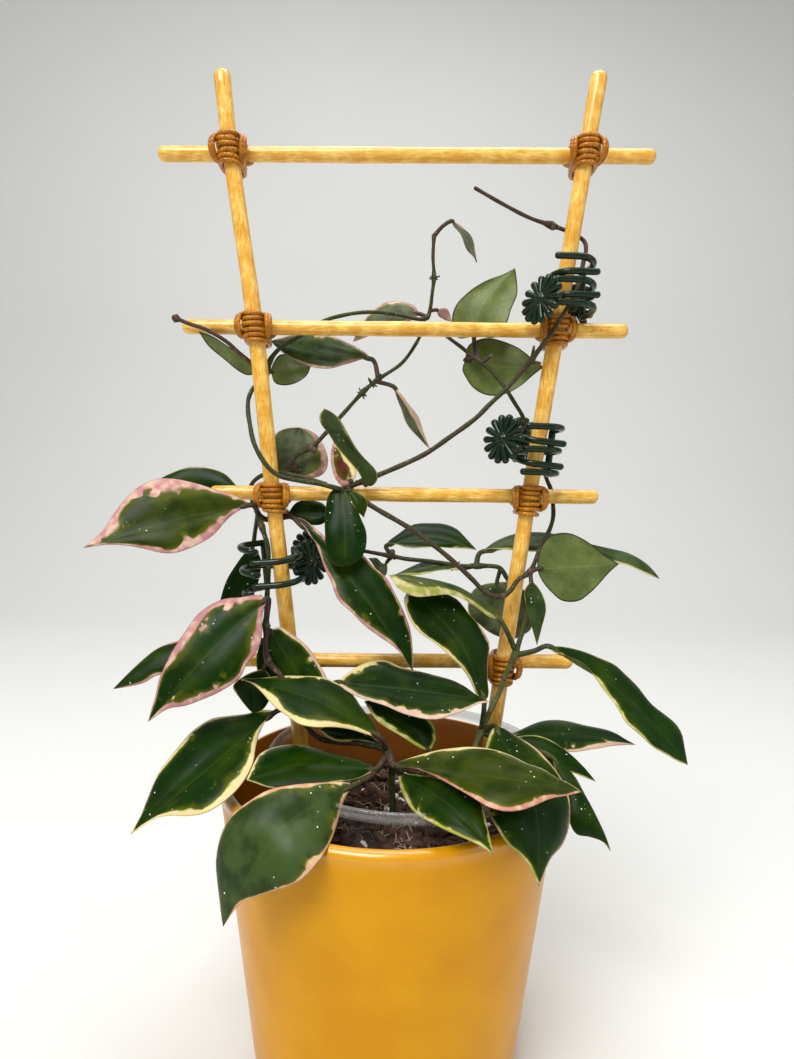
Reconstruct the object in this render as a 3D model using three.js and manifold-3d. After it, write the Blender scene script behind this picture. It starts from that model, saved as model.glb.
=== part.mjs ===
// A variegated wax plant that climbs a ladder trellis, in a clear nursery pot inside a glazed
// cover pot. Millimetres, +Z up. The origin is the centre of the cover pot's foot, and the
// trellis faces -Y.
import * as THREE from "three";
import { mergeVertices } from "three/addons/utils/BufferGeometryUtils.js";
import Module from "manifold-3d";

const wasm = await Module();
wasm.setup();

const GAP = 0.4; // air between pieces that touch on the real object
const SCRAP = 1; // cubic millimetres

const COVER_POT = {
  rimRadius: 72.5,
  footRadius: 56.5,
  footEdge: 1.5,
  height: 130,
  wall: 4,
  floor: 7,
  lip: 2,
  lipSteps: 5,
  sides: 36,
};
const NURSERY_POT = {
  x: 7.5,
  y: -2,
  rimRadius: 60,
  rimTop: 139,
  rimDepth: 4,
  rimEdge: 1,
  rimWall: 2.4,
  wallTopRadius: 57.5,
  footRadius: 42,
  foot: 7.4,
  wall: 1.4,
  drains: 5,
  drainRadius: 4,
  drainRing: 28,
  sides: 28,
};
const SOIL = { level: 110, lumps: 1.6, edge: 3, rings: 4, foot: 9.4, slack: 0.6 };

// The trellis stands in the plane y = TRELLIS_Y. Uprights are given by their x at each rung.
const TRELLIS_Y = 10;
const UPRIGHT = { radius: 3.5, foot: 62 };
const RUNG = { radius: 3.25, y: TRELLIS_Y + 3.5 + 3.25 + GAP };
const CAP = { height: 0.8, steps: [0.55, 0.95], sides: 12 }; // shares of the stick's radius and dome
const RUNGS = [
  { leftX: -105.6, leftZ: 393.6, rightX: 109.8, rightZ: 396.6 },
  { leftX: -95.4, leftZ: 320.4, rightX: 101.1, rightZ: 322.2 },
  { leftX: -83.5, leftZ: 247.6, rightX: 91.0, rightZ: 249.0 },
  { leftX: -77.0, leftZ: 171.4, rightX: 82.4, rightZ: 173.7 },
];
const LEFT_UPRIGHT = { footX: -31.6, rungs: [-72.9, -62.0, -53.8, -44.8], topX: -76.5, topZ: 425.2 };
const RIGHT_UPRIGHT = { footX: 36.2, rungs: [78.0, 68.2, 58.6, 49.5], topX: 82.3, topZ: 427.4 };

const LASHING = { radius: 7.5, halfDepth: 9.4, drop: 1.7, soft: 2.4, gap: 0.9, sides: 8 };
const CLIP = { wire: 1.4, wireSides: 4, step: 7, fingers: 5 };
// Shares of a clip's half width and half depth at which its fingers bend and its bridge lies.
const BEND = { front: 0.45, corner: 0.9, cornerDepth: 0.62, sideDepth: 0.05, bridge: 1.12 };
const GRIP = { petals: 12, radius: 10.8, depth: 3.4, taper: 0.8, notch: 0.88 };
const BLADE = { thickness: 0.9, stations: 5, small: 30, arch: 0.1, wave: 0.5, point: 0.03 };
const STALK = { radius: 1, sides: 4, step: 9, inside: 0.07 };
const STEM = { sides: 4, step: 12, thinning: 0.25, nodeReach: 3.6, swelling: 1.45 };
const KNOB = { radius: 2, tipRadius: 1.2, widest: 1.9, length: 3 };

// Where the photograph was taken from. It turns a pixel of the photograph and a depth y in this
// frame into a point, so that leaves and stems lie where they are seen.
const VIEW = { x: 1, y: -300, z: 257, pitch: 4.4, roll: 1.15, focal: 706, centreX: 397, centreY: 529.5 };
const DEGREE = Math.PI / 180;

function seenAt([px, py, y]) {
  const pitch = VIEW.pitch * DEGREE;
  const roll = VIEW.roll * DEGREE;
  const across = (px - VIEW.centreX) / VIEW.focal;
  const down = (py - VIEW.centreY) / VIEW.focal;
  const right = across * Math.cos(roll) + down * Math.sin(roll);
  const up = across * Math.sin(roll) - down * Math.cos(roll);
  const ray = new THREE.Vector3(
    right,
    Math.cos(pitch) + up * Math.sin(pitch),
    up * Math.cos(pitch) - Math.sin(pitch),
  );
  return new THREE.Vector3(VIEW.x, VIEW.y, VIEW.z).addScaledVector(ray, (y - VIEW.y) / ray.y);
}

const COLOURS = {
  glaze: new THREE.MeshStandardMaterial({ color: "#d99a12", roughness: 0.25, metalness: 0 }),
  clear: new THREE.MeshStandardMaterial({
    color: "#d8dcd8",
    roughness: 0.15,
    metalness: 0,
    transparent: true,
    opacity: 0.35,
  }),
  soil: new THREE.MeshStandardMaterial({ color: "#3a261a", roughness: 0.95, metalness: 0 }),
  cane: new THREE.MeshStandardMaterial({ color: "#dca84e", roughness: 0.4, metalness: 0 }),
  cord: new THREE.MeshStandardMaterial({ color: "#9a5a16", roughness: 0.5, metalness: 0 }),
  wire: new THREE.MeshStandardMaterial({ color: "#2c4236", roughness: 0.4, metalness: 0 }),
  leaf: new THREE.MeshStandardMaterial({ color: "#2c5228", roughness: 0.4, metalness: 0 }),
};

const part = new THREE.Group();

function place(name, geometry, material) {
  const mesh = new THREE.Mesh(geometry, material);
  mesh.name = name;
  part.add(mesh);
}

// ---- solids ---------------------------------------------------------------------------------

function solid(geometry) {
  const bare = new THREE.BufferGeometry();
  bare.setAttribute("position", geometry.getAttribute("position").clone());
  if (geometry.index) bare.setIndex(geometry.index.clone());
  const merged = mergeVertices(bare, 1e-4);
  const made = new wasm.Manifold(
    new wasm.Mesh({
      numProp: 3,
      vertProperties: new Float32Array(merged.attributes.position.array),
      triVerts: new Uint32Array(merged.index.array),
    }),
  );
  return made;
}

function geometryOf(body) {
  const mesh = body.getMesh();
  const positions = new Float32Array(mesh.numVert * 3);
  for (let i = 0; i < mesh.numVert; i++) {
    const at = i * mesh.numProp;
    positions.set(mesh.vertProperties.subarray(at, at + 3), i * 3);
  }
  const geometry = new THREE.BufferGeometry();
  geometry.setAttribute("position", new THREE.BufferAttribute(positions, 3));
  geometry.setIndex(new THREE.BufferAttribute(new Uint32Array(mesh.triVerts), 1));
  return geometry;
}

// Joins pieces into one body. A loose scrap is dropped, and a loose piece is a fault.
function fuse(pieces, name) {
  let body = pieces[0];
  for (const piece of pieces.slice(1)) body = body.add(piece);
  const bodies = body.decompose().sort((a, b) => b.volume() - a.volume());
  for (const loose of bodies.slice(1)) {
    if (loose.volume() < SCRAP) continue;
    const { min, max } = loose.boundingBox();
    console.log(`${name}: a piece is loose at ${min.map(Math.round)} to ${max.map(Math.round)}`);
  }
  return bodies[0];
}

// A round section swept through the rows, each a point with the radius there, and closed at both
// ends. The section is carried along without twist.
function sweep(rows, sides) {
  const points = [];
  const faces = [];
  const side = new THREE.Vector3();
  rows.forEach(({ point }, i) => {
    const ahead = rows[Math.min(i + 1, rows.length - 1)].point;
    const behind = rows[Math.max(i - 1, 0)].point;
    const along = ahead.clone().sub(behind).normalize();
    if (i === 0) side.set(0.3, 0.2, 0.9).cross(along);
    side.addScaledVector(along, -side.dot(along)).normalize();
    const other = along.clone().cross(side);
    for (let j = 0; j < sides; j++) {
      const angle = (2 * Math.PI * j) / sides;
      const corner = point.clone().addScaledVector(side, rows[i].radius * Math.cos(angle));
      points.push(corner.addScaledVector(other, rows[i].radius * Math.sin(angle)));
    }
  });
  for (let i = 0; i < rows.length - 1; i++) {
    for (let j = 0; j < sides; j++) {
      const [a, b] = [i * sides + j, i * sides + ((j + 1) % sides)];
      faces.push(a, b, b + sides, a, b + sides, a + sides);
    }
  }
  const last = (rows.length - 1) * sides;
  for (let j = 1; j < sides - 1; j++) faces.push(0, j + 1, j, last, last + j, last + j + 1);
  return solid(indexed(points, faces));
}

function indexed(points, faces) {
  const geometry = new THREE.BufferGeometry();
  const numbers = points.flatMap((p) => [p.x, p.y, p.z]);
  geometry.setAttribute("position", new THREE.Float32BufferAttribute(numbers, 3));
  geometry.setIndex(faces);
  return geometry;
}

// Points along the smooth curve through the given points, those among them, about a step apart.
function along(points, step) {
  const curve = new THREE.CatmullRomCurve3(points, false, "centripetal");
  const stretches = points.length - 1;
  const found = [points[0].clone()];
  for (let i = 0; i < stretches; i++) {
    const parts = Math.max(1, Math.round(points[i].distanceTo(points[i + 1]) / step));
    for (let j = 1; j <= parts; j++) found.push(curve.getPoint((i + j / parts) / stretches));
  }
  return found;
}

function tube(points, radius, sides, step) {
  return sweep(along(points, step).map((point) => ({ point, radius })), sides);
}

function lathe(outline, sides) {
  const profile = outline.map(([r, z]) => new THREE.Vector2(r, z));
  return new THREE.LatheGeometry(profile, sides).rotateX(Math.PI / 2).rotateZ(Math.PI / 2);
}

// ---- pots and potting mix -------------------------------------------------------------------

function coverPot() {
  const { rimRadius, footRadius, footEdge, height, wall, floor, lip, lipSteps, sides } = COVER_POT;
  const inside = footRadius - wall;
  const taper = (rimRadius - footRadius) / height;
  const outline = [
    [0, 0],
    [footRadius - footEdge, 0],
    [footRadius, footEdge],
    [rimRadius - taper * lip, height - lip],
  ];
  for (let i = 1; i < lipSteps; i++) {
    const angle = (Math.PI * i) / lipSteps;
    outline.push([rimRadius - lip + lip * Math.cos(angle), height - lip + lip * Math.sin(angle)]);
  }
  outline.push([rimRadius - wall, height - lip], [inside + taper * floor, floor], [0, floor]);
  place("cover_pot", geometryOf(solid(lathe(outline, sides))), COLOURS.glaze);
}

// Radius of the nursery pot's outer wall at height z.
function nurseryRadius(z) {
  const { foot, rimTop, rimDepth, footRadius, wallTopRadius } = NURSERY_POT;
  const share = (z - foot) / (rimTop - rimDepth - foot);
  return footRadius + (wallTopRadius - footRadius) * share;
}

function nurseryPot() {
  const { x, y, rimRadius, rimTop, rimDepth, rimEdge, rimWall, foot, wall } = NURSERY_POT;
  const { drains, drainRadius, drainRing, sides } = NURSERY_POT;
  const rimFoot = rimTop - rimDepth;
  const outline = [
    [0, foot],
    [nurseryRadius(foot), foot],
    [nurseryRadius(rimFoot), rimFoot],
    [rimRadius, rimFoot],
    [rimRadius, rimTop - rimEdge],
    [rimRadius - rimEdge, rimTop],
    [rimRadius - rimWall, rimTop],
    [nurseryRadius(rimFoot) - wall, rimFoot - 2],
    [nurseryRadius(foot) - wall, foot + wall],
    [0, foot + wall],
  ];
  let body = solid(lathe(outline, sides));
  for (let i = 0; i < drains; i++) {
    const angle = (2 * Math.PI * i) / drains;
    const reach = i ? drainRing : 0;
    const drain = new THREE.CylinderGeometry(drainRadius, drainRadius, 10, 8).rotateX(Math.PI / 2);
    body = body.subtract(solid(drain.translate(reach * Math.cos(angle), reach * Math.sin(angle), foot)));
  }
  place("nursery_pot", geometryOf(body).translate(x, y, 0), COLOURS.clear);
}

// Height of the potting mix above its mean level: chunks of bark as smooth lumps.
function lump(x, y) {
  const coarse = Math.sin(0.31 * x + 0.9) * Math.cos(0.27 * y - 0.4);
  const fine = Math.sin(0.73 * x - 0.52 * y + 1.7) * Math.cos(0.61 * y + 0.33 * x);
  return SOIL.lumps * (0.6 * coarse + 0.5 * fine);
}

// The mix fills the nursery pot, with a plain hole for each stick and stem.
function pottingMix(holes) {
  const { x, y, wall, sides } = NURSERY_POT;
  const { level, edge, rings, foot } = SOIL;
  const inner = (z) => nurseryRadius(z) - wall - GAP;
  const edgeRadius = inner(level - edge);
  const outline = [
    [0, foot],
    [inner(foot), foot],
    [edgeRadius, level - edge],
  ];
  for (let i = rings; i >= 0; i--) outline.push([((edgeRadius - 1) * i) / rings, level]);
  const geometry = lathe(outline, sides).translate(x, y, 0);
  const position = geometry.attributes.position;
  for (let i = 0; i < position.count; i++) {
    if (position.getZ(i) < level - 1) continue;
    position.setZ(i, level + lump(position.getX(i), position.getY(i)));
  }
  let body = solid(geometry);
  for (const hole of holes) body = body.subtract(hole);
  place("potting_mix", geometryOf(fuse([body], "potting_mix")), COLOURS.soil);
}

// ---- trellis --------------------------------------------------------------------------------

function uprightPoints(upright) {
  const points = [new THREE.Vector3(upright.footX, TRELLIS_Y, UPRIGHT.foot)];
  for (let i = RUNGS.length - 1; i >= 0; i--) {
    points.push(new THREE.Vector3(upright.rungs[i], TRELLIS_Y, rungHeight(RUNGS[i], upright.rungs[i])));
  }
  points.push(new THREE.Vector3(upright.topX, TRELLIS_Y, upright.topZ));
  return points;
}

function rungHeight(rung, x) {
  const share = (x - rung.leftX) / (rung.rightX - rung.leftX);
  return rung.leftZ + (rung.rightZ - rung.leftZ) * share;
}

function rungPoints(rung) {
  const left = new THREE.Vector3(rung.leftX, RUNG.y, rung.leftZ);
  const right = new THREE.Vector3(rung.rightX, RUNG.y, rung.rightZ);
  return [left, left.clone().lerp(right, 0.5), right];
}

// A stick with a domed cap at each end. The first and the last point are its tips.
function stick(points, radius) {
  const rows = points.map((point) => ({ point: point.clone(), radius }));
  const last = rows.length - 1;
  const dome = CAP.height * radius;
  const [foot, top] = [
    [0, 1],
    [last, last - 1],
  ].map(([end, next]) => {
    const out = points[end].clone().sub(points[next]).normalize();
    rows[end].point.addScaledVector(out, -dome);
    return CAP.steps.map((share) => ({
      point: rows[end].point.clone().addScaledVector(out, dome * share),
      radius: radius * Math.sqrt(1 - share * share),
    }));
  });
  return sweep([...foot.reverse(), ...rows, ...top], CAP.sides);
}

function trellis() {
  place("upright_left", geometryOf(stick(uprightPoints(LEFT_UPRIGHT), UPRIGHT.radius)), COLOURS.cane);
  place("upright_right", geometryOf(stick(uprightPoints(RIGHT_UPRIGHT), UPRIGHT.radius)), COLOURS.cane);
  RUNGS.forEach((rung, i) => {
    place(`rung_${i + 1}`, geometryOf(stick(rungPoints(rung), RUNG.radius)), COLOURS.cane);
  });
}

// Waxed cord bound round one crossing, as one knob with a way through for each stick.
function lashing(name, side, index) {
  const { radius, halfDepth, drop, soft, gap, sides } = LASHING;
  const rung = RUNGS[index];
  const x = side.rungs[index];
  const outline = [
    [0, -halfDepth],
    [radius - soft, -halfDepth],
    [radius, soft - halfDepth],
    [radius, halfDepth - soft],
    [radius - soft, halfDepth],
    [0, halfDepth],
  ];
  const knob = lathe(outline, sides).rotateZ(Math.PI / sides).rotateX(Math.PI / 2);
  knob.translate(x, (TRELLIS_Y + RUNG.y) / 2, rungHeight(rung, x) - drop);
  const points = uprightPoints(side);
  const upright = tube(points, UPRIGHT.radius + gap, 6, side.topZ);
  const cross = tube(rungPoints(rung), RUNG.radius + gap, 6, rung.rightX - rung.leftX);
  const body = solid(knob).subtract(upright).subtract(cross);
  place(name, geometryOf(fuse([body], name)), COLOURS.cord);
}

// ---- spring clips ---------------------------------------------------------------------------

// Two jaws of coated wire that reach round the upright and the vine from both sides, their fingers
// in turn from the top down, with a spring between them behind and a flower-shaped grip on each.
function vineClip(name, clip) {
  const { wire, wireSides, step, fingers } = CLIP;
  const pieces = [];
  const spines = clip.jaws.map(() => []);
  for (let k = 0; k < fingers; k++) {
    const jaw = clip.jaws[k % 2];
    const level = ((fingers - 1) / 2 - k) * clip.pitch;
    const points = fingerPoints(clip, jaw, level);
    spines[k % 2].push(points[points.length - 1]);
    pieces.push(tube(points, wire, wireSides, step));
  }
  const middles = spines.map((tips) => {
    const [high, low] = [tips[0], tips[tips.length - 1]];
    const middle = low.clone().lerp(high, (clip.z + clip.spring - low.z) / (high.z - low.z));
    pieces.push(tube([low, high], wire, wireSides, clip.z));
    return middle;
  });
  const behind = middles[0].clone().lerp(middles[1], 0.5);
  behind.setY(clip.y + BEND.bridge * clip.halfDepth);
  pieces.push(tube([middles[0], behind, middles[1]], wire, wireSides, step));
  clip.jaws.forEach(({ grip, facing }, j) => {
    const middle = seenAt(grip);
    pieces.push(rosette(facing, middle), tube([middles[j], middle], wire, wireSides, clip.z));
  });
  place(name, geometryOf(fuse(pieces, name)), COLOURS.wire);
}

// The middle line of one finger, from its free end in front round one side to its root behind.
function fingerPoints(clip, jaw, level) {
  const { side, free, root, rise } = jaw;
  const { halfWidth, halfDepth } = clip;
  const plan = [
    free,
    [BEND.front * side * halfWidth, -halfDepth],
    [BEND.corner * side * halfWidth, -BEND.cornerDepth * halfDepth],
    [side * halfWidth, BEND.sideDepth * halfDepth],
    root,
  ];
  return plan.map(([x, y], i) => {
    const z = level + rise[0] + (rise[1] - rise[0]) * (i / (plan.length - 1));
    return new THREE.Vector3(clip.x + clip.lean * level + x, clip.y + y, clip.z + z);
  });
}

// A flower-shaped disc that faces along a direction.
function rosette(facing, middle) {
  const { petals, radius, depth, taper, notch } = GRIP;
  const disc = new THREE.CylinderGeometry(radius, taper * radius, depth, 2 * petals, 1);
  const position = disc.attributes.position;
  for (let i = 0; i < position.count; i++) {
    const turn = Math.round((Math.atan2(position.getX(i), position.getZ(i)) * petals) / Math.PI);
    if (turn % 2 === 0) continue;
    position.setX(i, position.getX(i) * notch);
    position.setZ(i, position.getZ(i) * notch);
  }
  const turned = new THREE.Quaternion().setFromUnitVectors(
    new THREE.Vector3(0, 1, 0),
    new THREE.Vector3(...facing).normalize(),
  );
  return solid(disc.applyQuaternion(turned).translate(middle.x, middle.y, middle.z));
}

// ---- leaves and stems -----------------------------------------------------------------------

// A leaf blade from five seen points: its base, the middle of its midrib, its tip, and the widest
// points of its left and right margins, as they lie when one looks down on its upper side.
function blade(base, mid, tip, left, right) {
  const reach = reachOf(base, mid, tip);
  const half = [left.clone().sub(mid), right.clone().sub(mid)];
  const rows = base.distanceTo(tip) < BLADE.small ? BLADE.stations - 1 : BLADE.stations;
  const columns = 4;
  const upper = [];
  const lower = [];
  for (let i = 0; i <= rows; i++) {
    const s = i / rows;
    const centre = midrib(base, mid, tip, reach, s);
    const along = midrib(base, mid, tip, reach, s + 0.01).sub(centre);
    const width = Math.max(bladeWidth(s, reach), BLADE.point);
    const normal = half[1].clone().sub(half[0]).cross(along).normalize();
    for (let j = 0; j <= columns; j++) {
      const t = (2 * j) / columns - 1;
      const side = half[t < 0 ? 0 : 1];
      const out = Math.abs(t);
      const rise =
        BLADE.arch * width * side.length() * 4 * out * (1 - out) +
        BLADE.wave * Math.sin(11 * s + 2 * t) * width * out * out;
      const point = centre.clone().addScaledVector(side, width * out).addScaledVector(normal, rise);
      upper.push(point.clone().addScaledVector(normal, BLADE.thickness / 2));
      lower.push(point.clone().addScaledVector(normal, -BLADE.thickness / 2));
    }
  }
  return solid(sheet(upper, lower, rows, columns));
}

// Share of the midrib's length at which it passes its middle point.
function reachOf(base, mid, tip) {
  return base.distanceTo(mid) / (base.distanceTo(mid) + mid.distanceTo(tip));
}

// Point at a share s of the midrib, a parabola through its base, middle and tip.
function midrib(base, mid, tip, reach, s) {
  const a = ((s - reach) * (s - 1)) / reach;
  const b = (s * (s - 1)) / (reach * (reach - 1));
  const c = (s * (s - reach)) / (1 - reach);
  return new THREE.Vector3()
    .addScaledVector(base, a)
    .addScaledVector(mid, b)
    .addScaledVector(tip, c);
}

// Share of the full width at a share s of the length: round at the base, drawn out at the tip.
function bladeWidth(s, reach) {
  if (s < reach) return Math.sin((Math.PI / 2) * (s / reach)) ** 0.75;
  return Math.cos((Math.PI / 2) * ((s - reach) / (1 - reach))) ** 1.15;
}

// A closed body between two like grids of points, split into triangles alike on both faces.
function sheet(upper, lower, rows, columns) {
  const wide = columns + 1;
  const points = [...upper, ...lower];
  const under = upper.length;
  const faces = [];
  const at = (i, j) => i * wide + j;
  for (let i = 0; i < rows; i++) {
    for (let j = 0; j < columns; j++) {
      const [a, b, c, d] = [at(i, j), at(i, j + 1), at(i + 1, j + 1), at(i + 1, j)];
      faces.push(a, b, c, a, c, d);
      faces.push(under + a, under + c, under + b, under + a, under + d, under + c);
    }
  }
  const rim = [];
  for (let j = 0; j < columns; j++) rim.push(at(0, j));
  for (let i = 0; i < rows; i++) rim.push(at(i, columns));
  for (let j = columns; j > 0; j--) rim.push(at(rows, j));
  for (let i = rows; i > 0; i--) rim.push(at(i, 0));
  rim.forEach((a, k) => {
    const b = rim[(k + 1) % rim.length];
    faces.push(a, under + a, b, b, under + a, under + b);
  });
  return indexed(points, faces);
}

// One leaf with its stalk: the stalk leaves the stem's nearest point and ends inside the blade.
function leaf(stem, stalk, base, mid, tip, left, right) {
  const points = [base, mid, tip, left, right].map(seenAt);
  const [from, middle, to] = points;
  const start = seenAt(stalk[0]);
  const away = (point) => point.distanceTo(start);
  const root = stem.reduce((best, point) => (away(point) < away(best) ? point : best));
  const inside = midrib(from, middle, to, reachOf(from, middle, to), STALK.inside);
  const path = along([root, ...stalk.slice(1).map(seenAt), from], STALK.step);
  const rows = [...path, inside].map((point) => ({ point, radius: STALK.radius }));
  return fuse([blade(...points), sweep(rows, STALK.sides)], "leaf");
}

// A stem that thins towards its tip and swells at its nodes, fused with its leaves.
function leafyStem(name, stem) {
  const points = stemPoints(stem);
  const nodes = stem.nodes.map(seenAt);
  const rows = points.map((point, i) => {
    const thinned = stem.radius * (1 - (STEM.thinning * i) / points.length);
    const swollen = nodes.some((node) => node.distanceTo(point) < STEM.nodeReach);
    return { point, radius: swollen ? thinned * STEM.swelling : thinned };
  });
  const pieces = [sweep(rows, STEM.sides)];
  for (const one of stem.leaves) pieces.push(leaf(points, ...one));
  if (stem.twig) pieces.push(twig(stem.twig.map(seenAt)));
  place(name, geometryOf(fuse(pieces, name)), COLOURS.leaf);
}

// A bare flower stalk that ends in a small knob.
function twig(points) {
  const rows = along(points, STALK.step).map((point) => ({ point, radius: STALK.radius }));
  const end = rows[rows.length - 1].point;
  const ahead = end.clone().sub(rows[rows.length - 2].point).normalize();
  rows.push({ point: end.clone().addScaledVector(ahead, KNOB.widest), radius: KNOB.radius });
  rows.push({ point: end.clone().addScaledVector(ahead, KNOB.length), radius: KNOB.tipRadius });
  return sweep(rows, STALK.sides);
}

function stemPoints(stem) {
  return along(stem.path.map(seenAt), STEM.step);
}

// Stems and leaves as they are seen: [pixel across, pixel down, depth y in millimetres]. A leaf
// is its stalk's points, base, middle, tip, and the widest points of its left and right margins.
const LEFT_VINE = {
  radius: 1.5,
  path: [
    [392, 872, -19], [392, 785, -19], [387, 752, -19], [363, 744, -15], [322, 739, -9],
    [309, 729, -7], [295, 702, -8], [281, 676, -8], [268, 660, -6], [266, 626, -3],
    [267, 600, 2.4], [268, 549, 5], [262, 527, 6], [257, 510, 14], [251, 497, 23],
    [251, 486, 23.2], [259, 477, 20], [272, 473, 18], [287, 474, 14], [306, 478, 11], [326, 484, 10],
  ],
  nodes: [[387, 752, -19], [268, 660, -6], [266, 626, -3], [262, 527, 6]],
  leaves: [
    [[[257, 512, 12]], [250, 505, 4], [178, 520, -12], [83, 548, -24], [182, 551, -18], [175, 481, -4]],
    [[[251, 492, 23]], [243, 494, 23], [195, 490, 24], [140, 500, 22], [195, 512, 22], [195, 467, 27]],
    [[[258, 516, 12], [255, 532, 20]], [253, 546, 23], [239, 580, 22], [215, 625, 13], [256, 590, 21], [229, 576, 24]],
    [[[266, 622, -3]], [267, 598, -5], [212, 650, -18], [148, 722, -28], [250, 660, -20], [188, 628, -14]],
    [[[266, 640, -4]], [240, 643, -5], [170, 663, -10], [113, 689, -14], [170, 686, -12], [168, 643, -4]],
    [[[267, 640, -4]], [270, 630, -1], [291, 662, -0.5], [318, 700, -4], [318, 655, 1], [262, 682, -2]],
    [[[268, 660, -6]], [264, 668, -5], [254, 688, -5], [256, 716, -7], [272, 690, -4], [233, 688, -5]],
    [[[386, 748, -20]], [381, 738, -23], [315, 701, -17], [240, 679, -9], [305, 727, -29], [319, 677, -3]],
    [[[297, 706, -8]], [277, 711, -6], [214, 765, -28], [130, 835, -44], [243, 785, -42], [184, 740, -14]],
    [[[384, 758, -24]], [375, 770, -33], [305, 766, -33], [246, 780, -44], [302, 784, -50], [300, 746, -13]],
    [
      [[386, 755, -21], [371, 776, -36]],
      [355, 785, -45], [281, 830, -70], [223, 927, -74], [330, 843, -76], [231, 816, -61],
    ],
    [[[388, 754, -21]], [393, 766, -32], [475, 776, -60], [582, 792, -62], [470, 747, -42], [490, 808, -76]],
    [[[389, 756, -20]], [398, 772, -30], [452, 808, -63], [493, 854, -80], [484, 800, -58], [421, 818, -69]],
    [[[303, 716, -6]], [335, 683, -3], [412, 691, -6], [490, 702, -17], [405, 665, 7], [418, 720, -22]],
    [[[262, 519, 12], [265, 519, 15], [275, 520, 16.5]], [296, 523, 11], [362, 594, -1], [413, 672, -12], [393, 585, 1], [335, 604, -5]],
    [[[262, 520, 12], [265, 520, 16], [275, 519, 18.5]], [288, 513, 20.5], [308, 513, 21.5], [331, 514, 20.5], [308, 500, 23.5], [308, 525, 19.5]],
    [[[385, 750, -19]], [380, 744, -14], [348, 735, -10], [318, 730, -6], [348, 742, -14], [348, 722, -6]],
  ],
};
const LOW_SHOOT = {
  radius: 1.2,
  path: [[439, 872, -18], [437, 785, -18], [431, 755, -16]],
  nodes: [[434, 768, -17]],
  leaves: [
    [[[434, 768, -17]], [430, 752, -15.5], [405, 728, -10], [364, 701, -2], [388, 731, -14], [426, 716, -6]],
  ],
};
const LEFT_LOOP = {
  radius: 1.2,
  path: [
    [340, 489, 6], [320, 484, 5], [280, 476, 2.8], [269, 468, 2.5], [259, 454, 3], [253, 440, 5],
    [250, 425, 8], [248, 411, 11], [249, 397, 15.5], [255, 386, 17.5], [266, 378, 18],
    [270, 361, 18], [278, 350, 20], [289, 342, 22.5], [298, 337, 23.5], [312, 328, 23.8],
    [326, 320, 23], [342, 315.5, 22.5], [361, 312.5, 22.5], [381, 312.4, 23], [402, 315.5, 23.5],
    [417, 319, 24], [427, 318, 24], [430, 310, 24], [432, 295, 23], [434, 277, 23],
    [433, 257, 23], [434, 236, 23],
  ],
  nodes: [[270, 361, 18], [427, 318, 24], [434, 236, 23], [434, 277, 23]],
  twig: [
    [266, 378, 18], [249, 361, 15.5], [238, 352, 13.5], [227, 342, 11.5], [205, 329, 9.5],
    [190, 324, 9.5], [180, 320, 9.5],
  ],
  leaves: [
    [[[268, 368, 18.5]], [260, 371, 18.5], [228, 352, 15], [198, 331, 10.5], [230, 346, 12.5], [224, 360, 18]],
    [[[270, 368, 19]], [274, 372, 24], [291, 371, 32], [311, 366, 36], [288, 384, 29], [292, 358, 35]],
    [[[426, 317, 24]], [420, 314, 26], [390, 313, 30], [353, 342, 29], [386, 327, 28], [392, 301, 34]],
    [[[430, 312, 24]], [437, 310, 25], [445, 314, 26], [452, 322, 26], [449, 310, 26], [441, 318, 26]],
    [
      [[434, 237, 23], [443, 226, 23]],
      [452, 221, 23], [466, 236, 23], [477, 263, 23], [463, 240, 33], [469, 233, 14],
    ],
  ],
};
const BACK_STEM = {
  radius: 1.2,
  path: [
    [286, 469, 21.5], [297, 455, 22], [312, 447, 22], [325, 434, 22], [343, 414, 22],
    [364, 391, 22], [377, 380, 22], [402, 363, 23], [417, 342, 24.5], [420, 336, 24.8],
  ],
  nodes: [[312, 447, 22], [364, 391, 22], [377, 380, 22]],
  leaves: [
    [[[292, 461, 22]], [300, 478, 26], [300, 455, 29], [300, 427, 33], [273, 459, 30], [328, 461, 28]],
    [[[377, 379, 22]], [373, 360, 25], [322, 352, 29], [270, 341, 27], [322, 369, 25], [322, 334, 32]],
    [[[377, 383, 22]], [394, 387, 23], [411, 414, 24], [430, 449, 26], [418, 412, 18], [405, 417, 32]],
  ],
};
const DIAGONAL_UP = {
  radius: 1.3,
  path: [
    [346, 488, 13], [361, 482, 12], [376, 476, 11], [393, 469, 10], [425, 454, 9],
    [450, 437, 8], [476, 418, 8], [489, 405, 8.5], [506, 389, 9], [519, 375, 8.5],
    [531, 361, 6], [538, 351, 3], [545, 342, 0.8], [552, 332, 0], [560, 319, 0],
    [568, 307, 0.8], [575, 294, 4], [580, 280, 7], [583, 264, 9], [586, 250, 12], [584, 241, 16],
    [576, 235, 18], [567, 231, 18.4], [552, 225.5, 18], [530, 218, 17], [501, 203, 16], [475, 188, 14],
  ],
  nodes: [[531, 361, 6], [552, 225.5, 18], [364, 481, 12]],
  leaves: [
    [[[350, 487, 12.5]], [352, 482, 16], [341, 464, 21], [334, 440, 24], [331, 462, 24], [357, 470, 19]],
    [[[346, 488, 12.5]], [350, 490, 6], [359, 502, 3.5], [364, 518, 3], [367, 501, 3], [353, 505, 3.5]],
    [[[364, 481, 12]], [366, 485, 7], [351, 450, 0], [324, 408, -8], [336, 448, 6], [366, 459, -6]],
    [[[347, 488, 12.5]], [343, 491, 8], [345, 525, 1], [344, 578, -4], [366, 531, 1], [325, 528, 2]],
  ],
};
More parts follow.
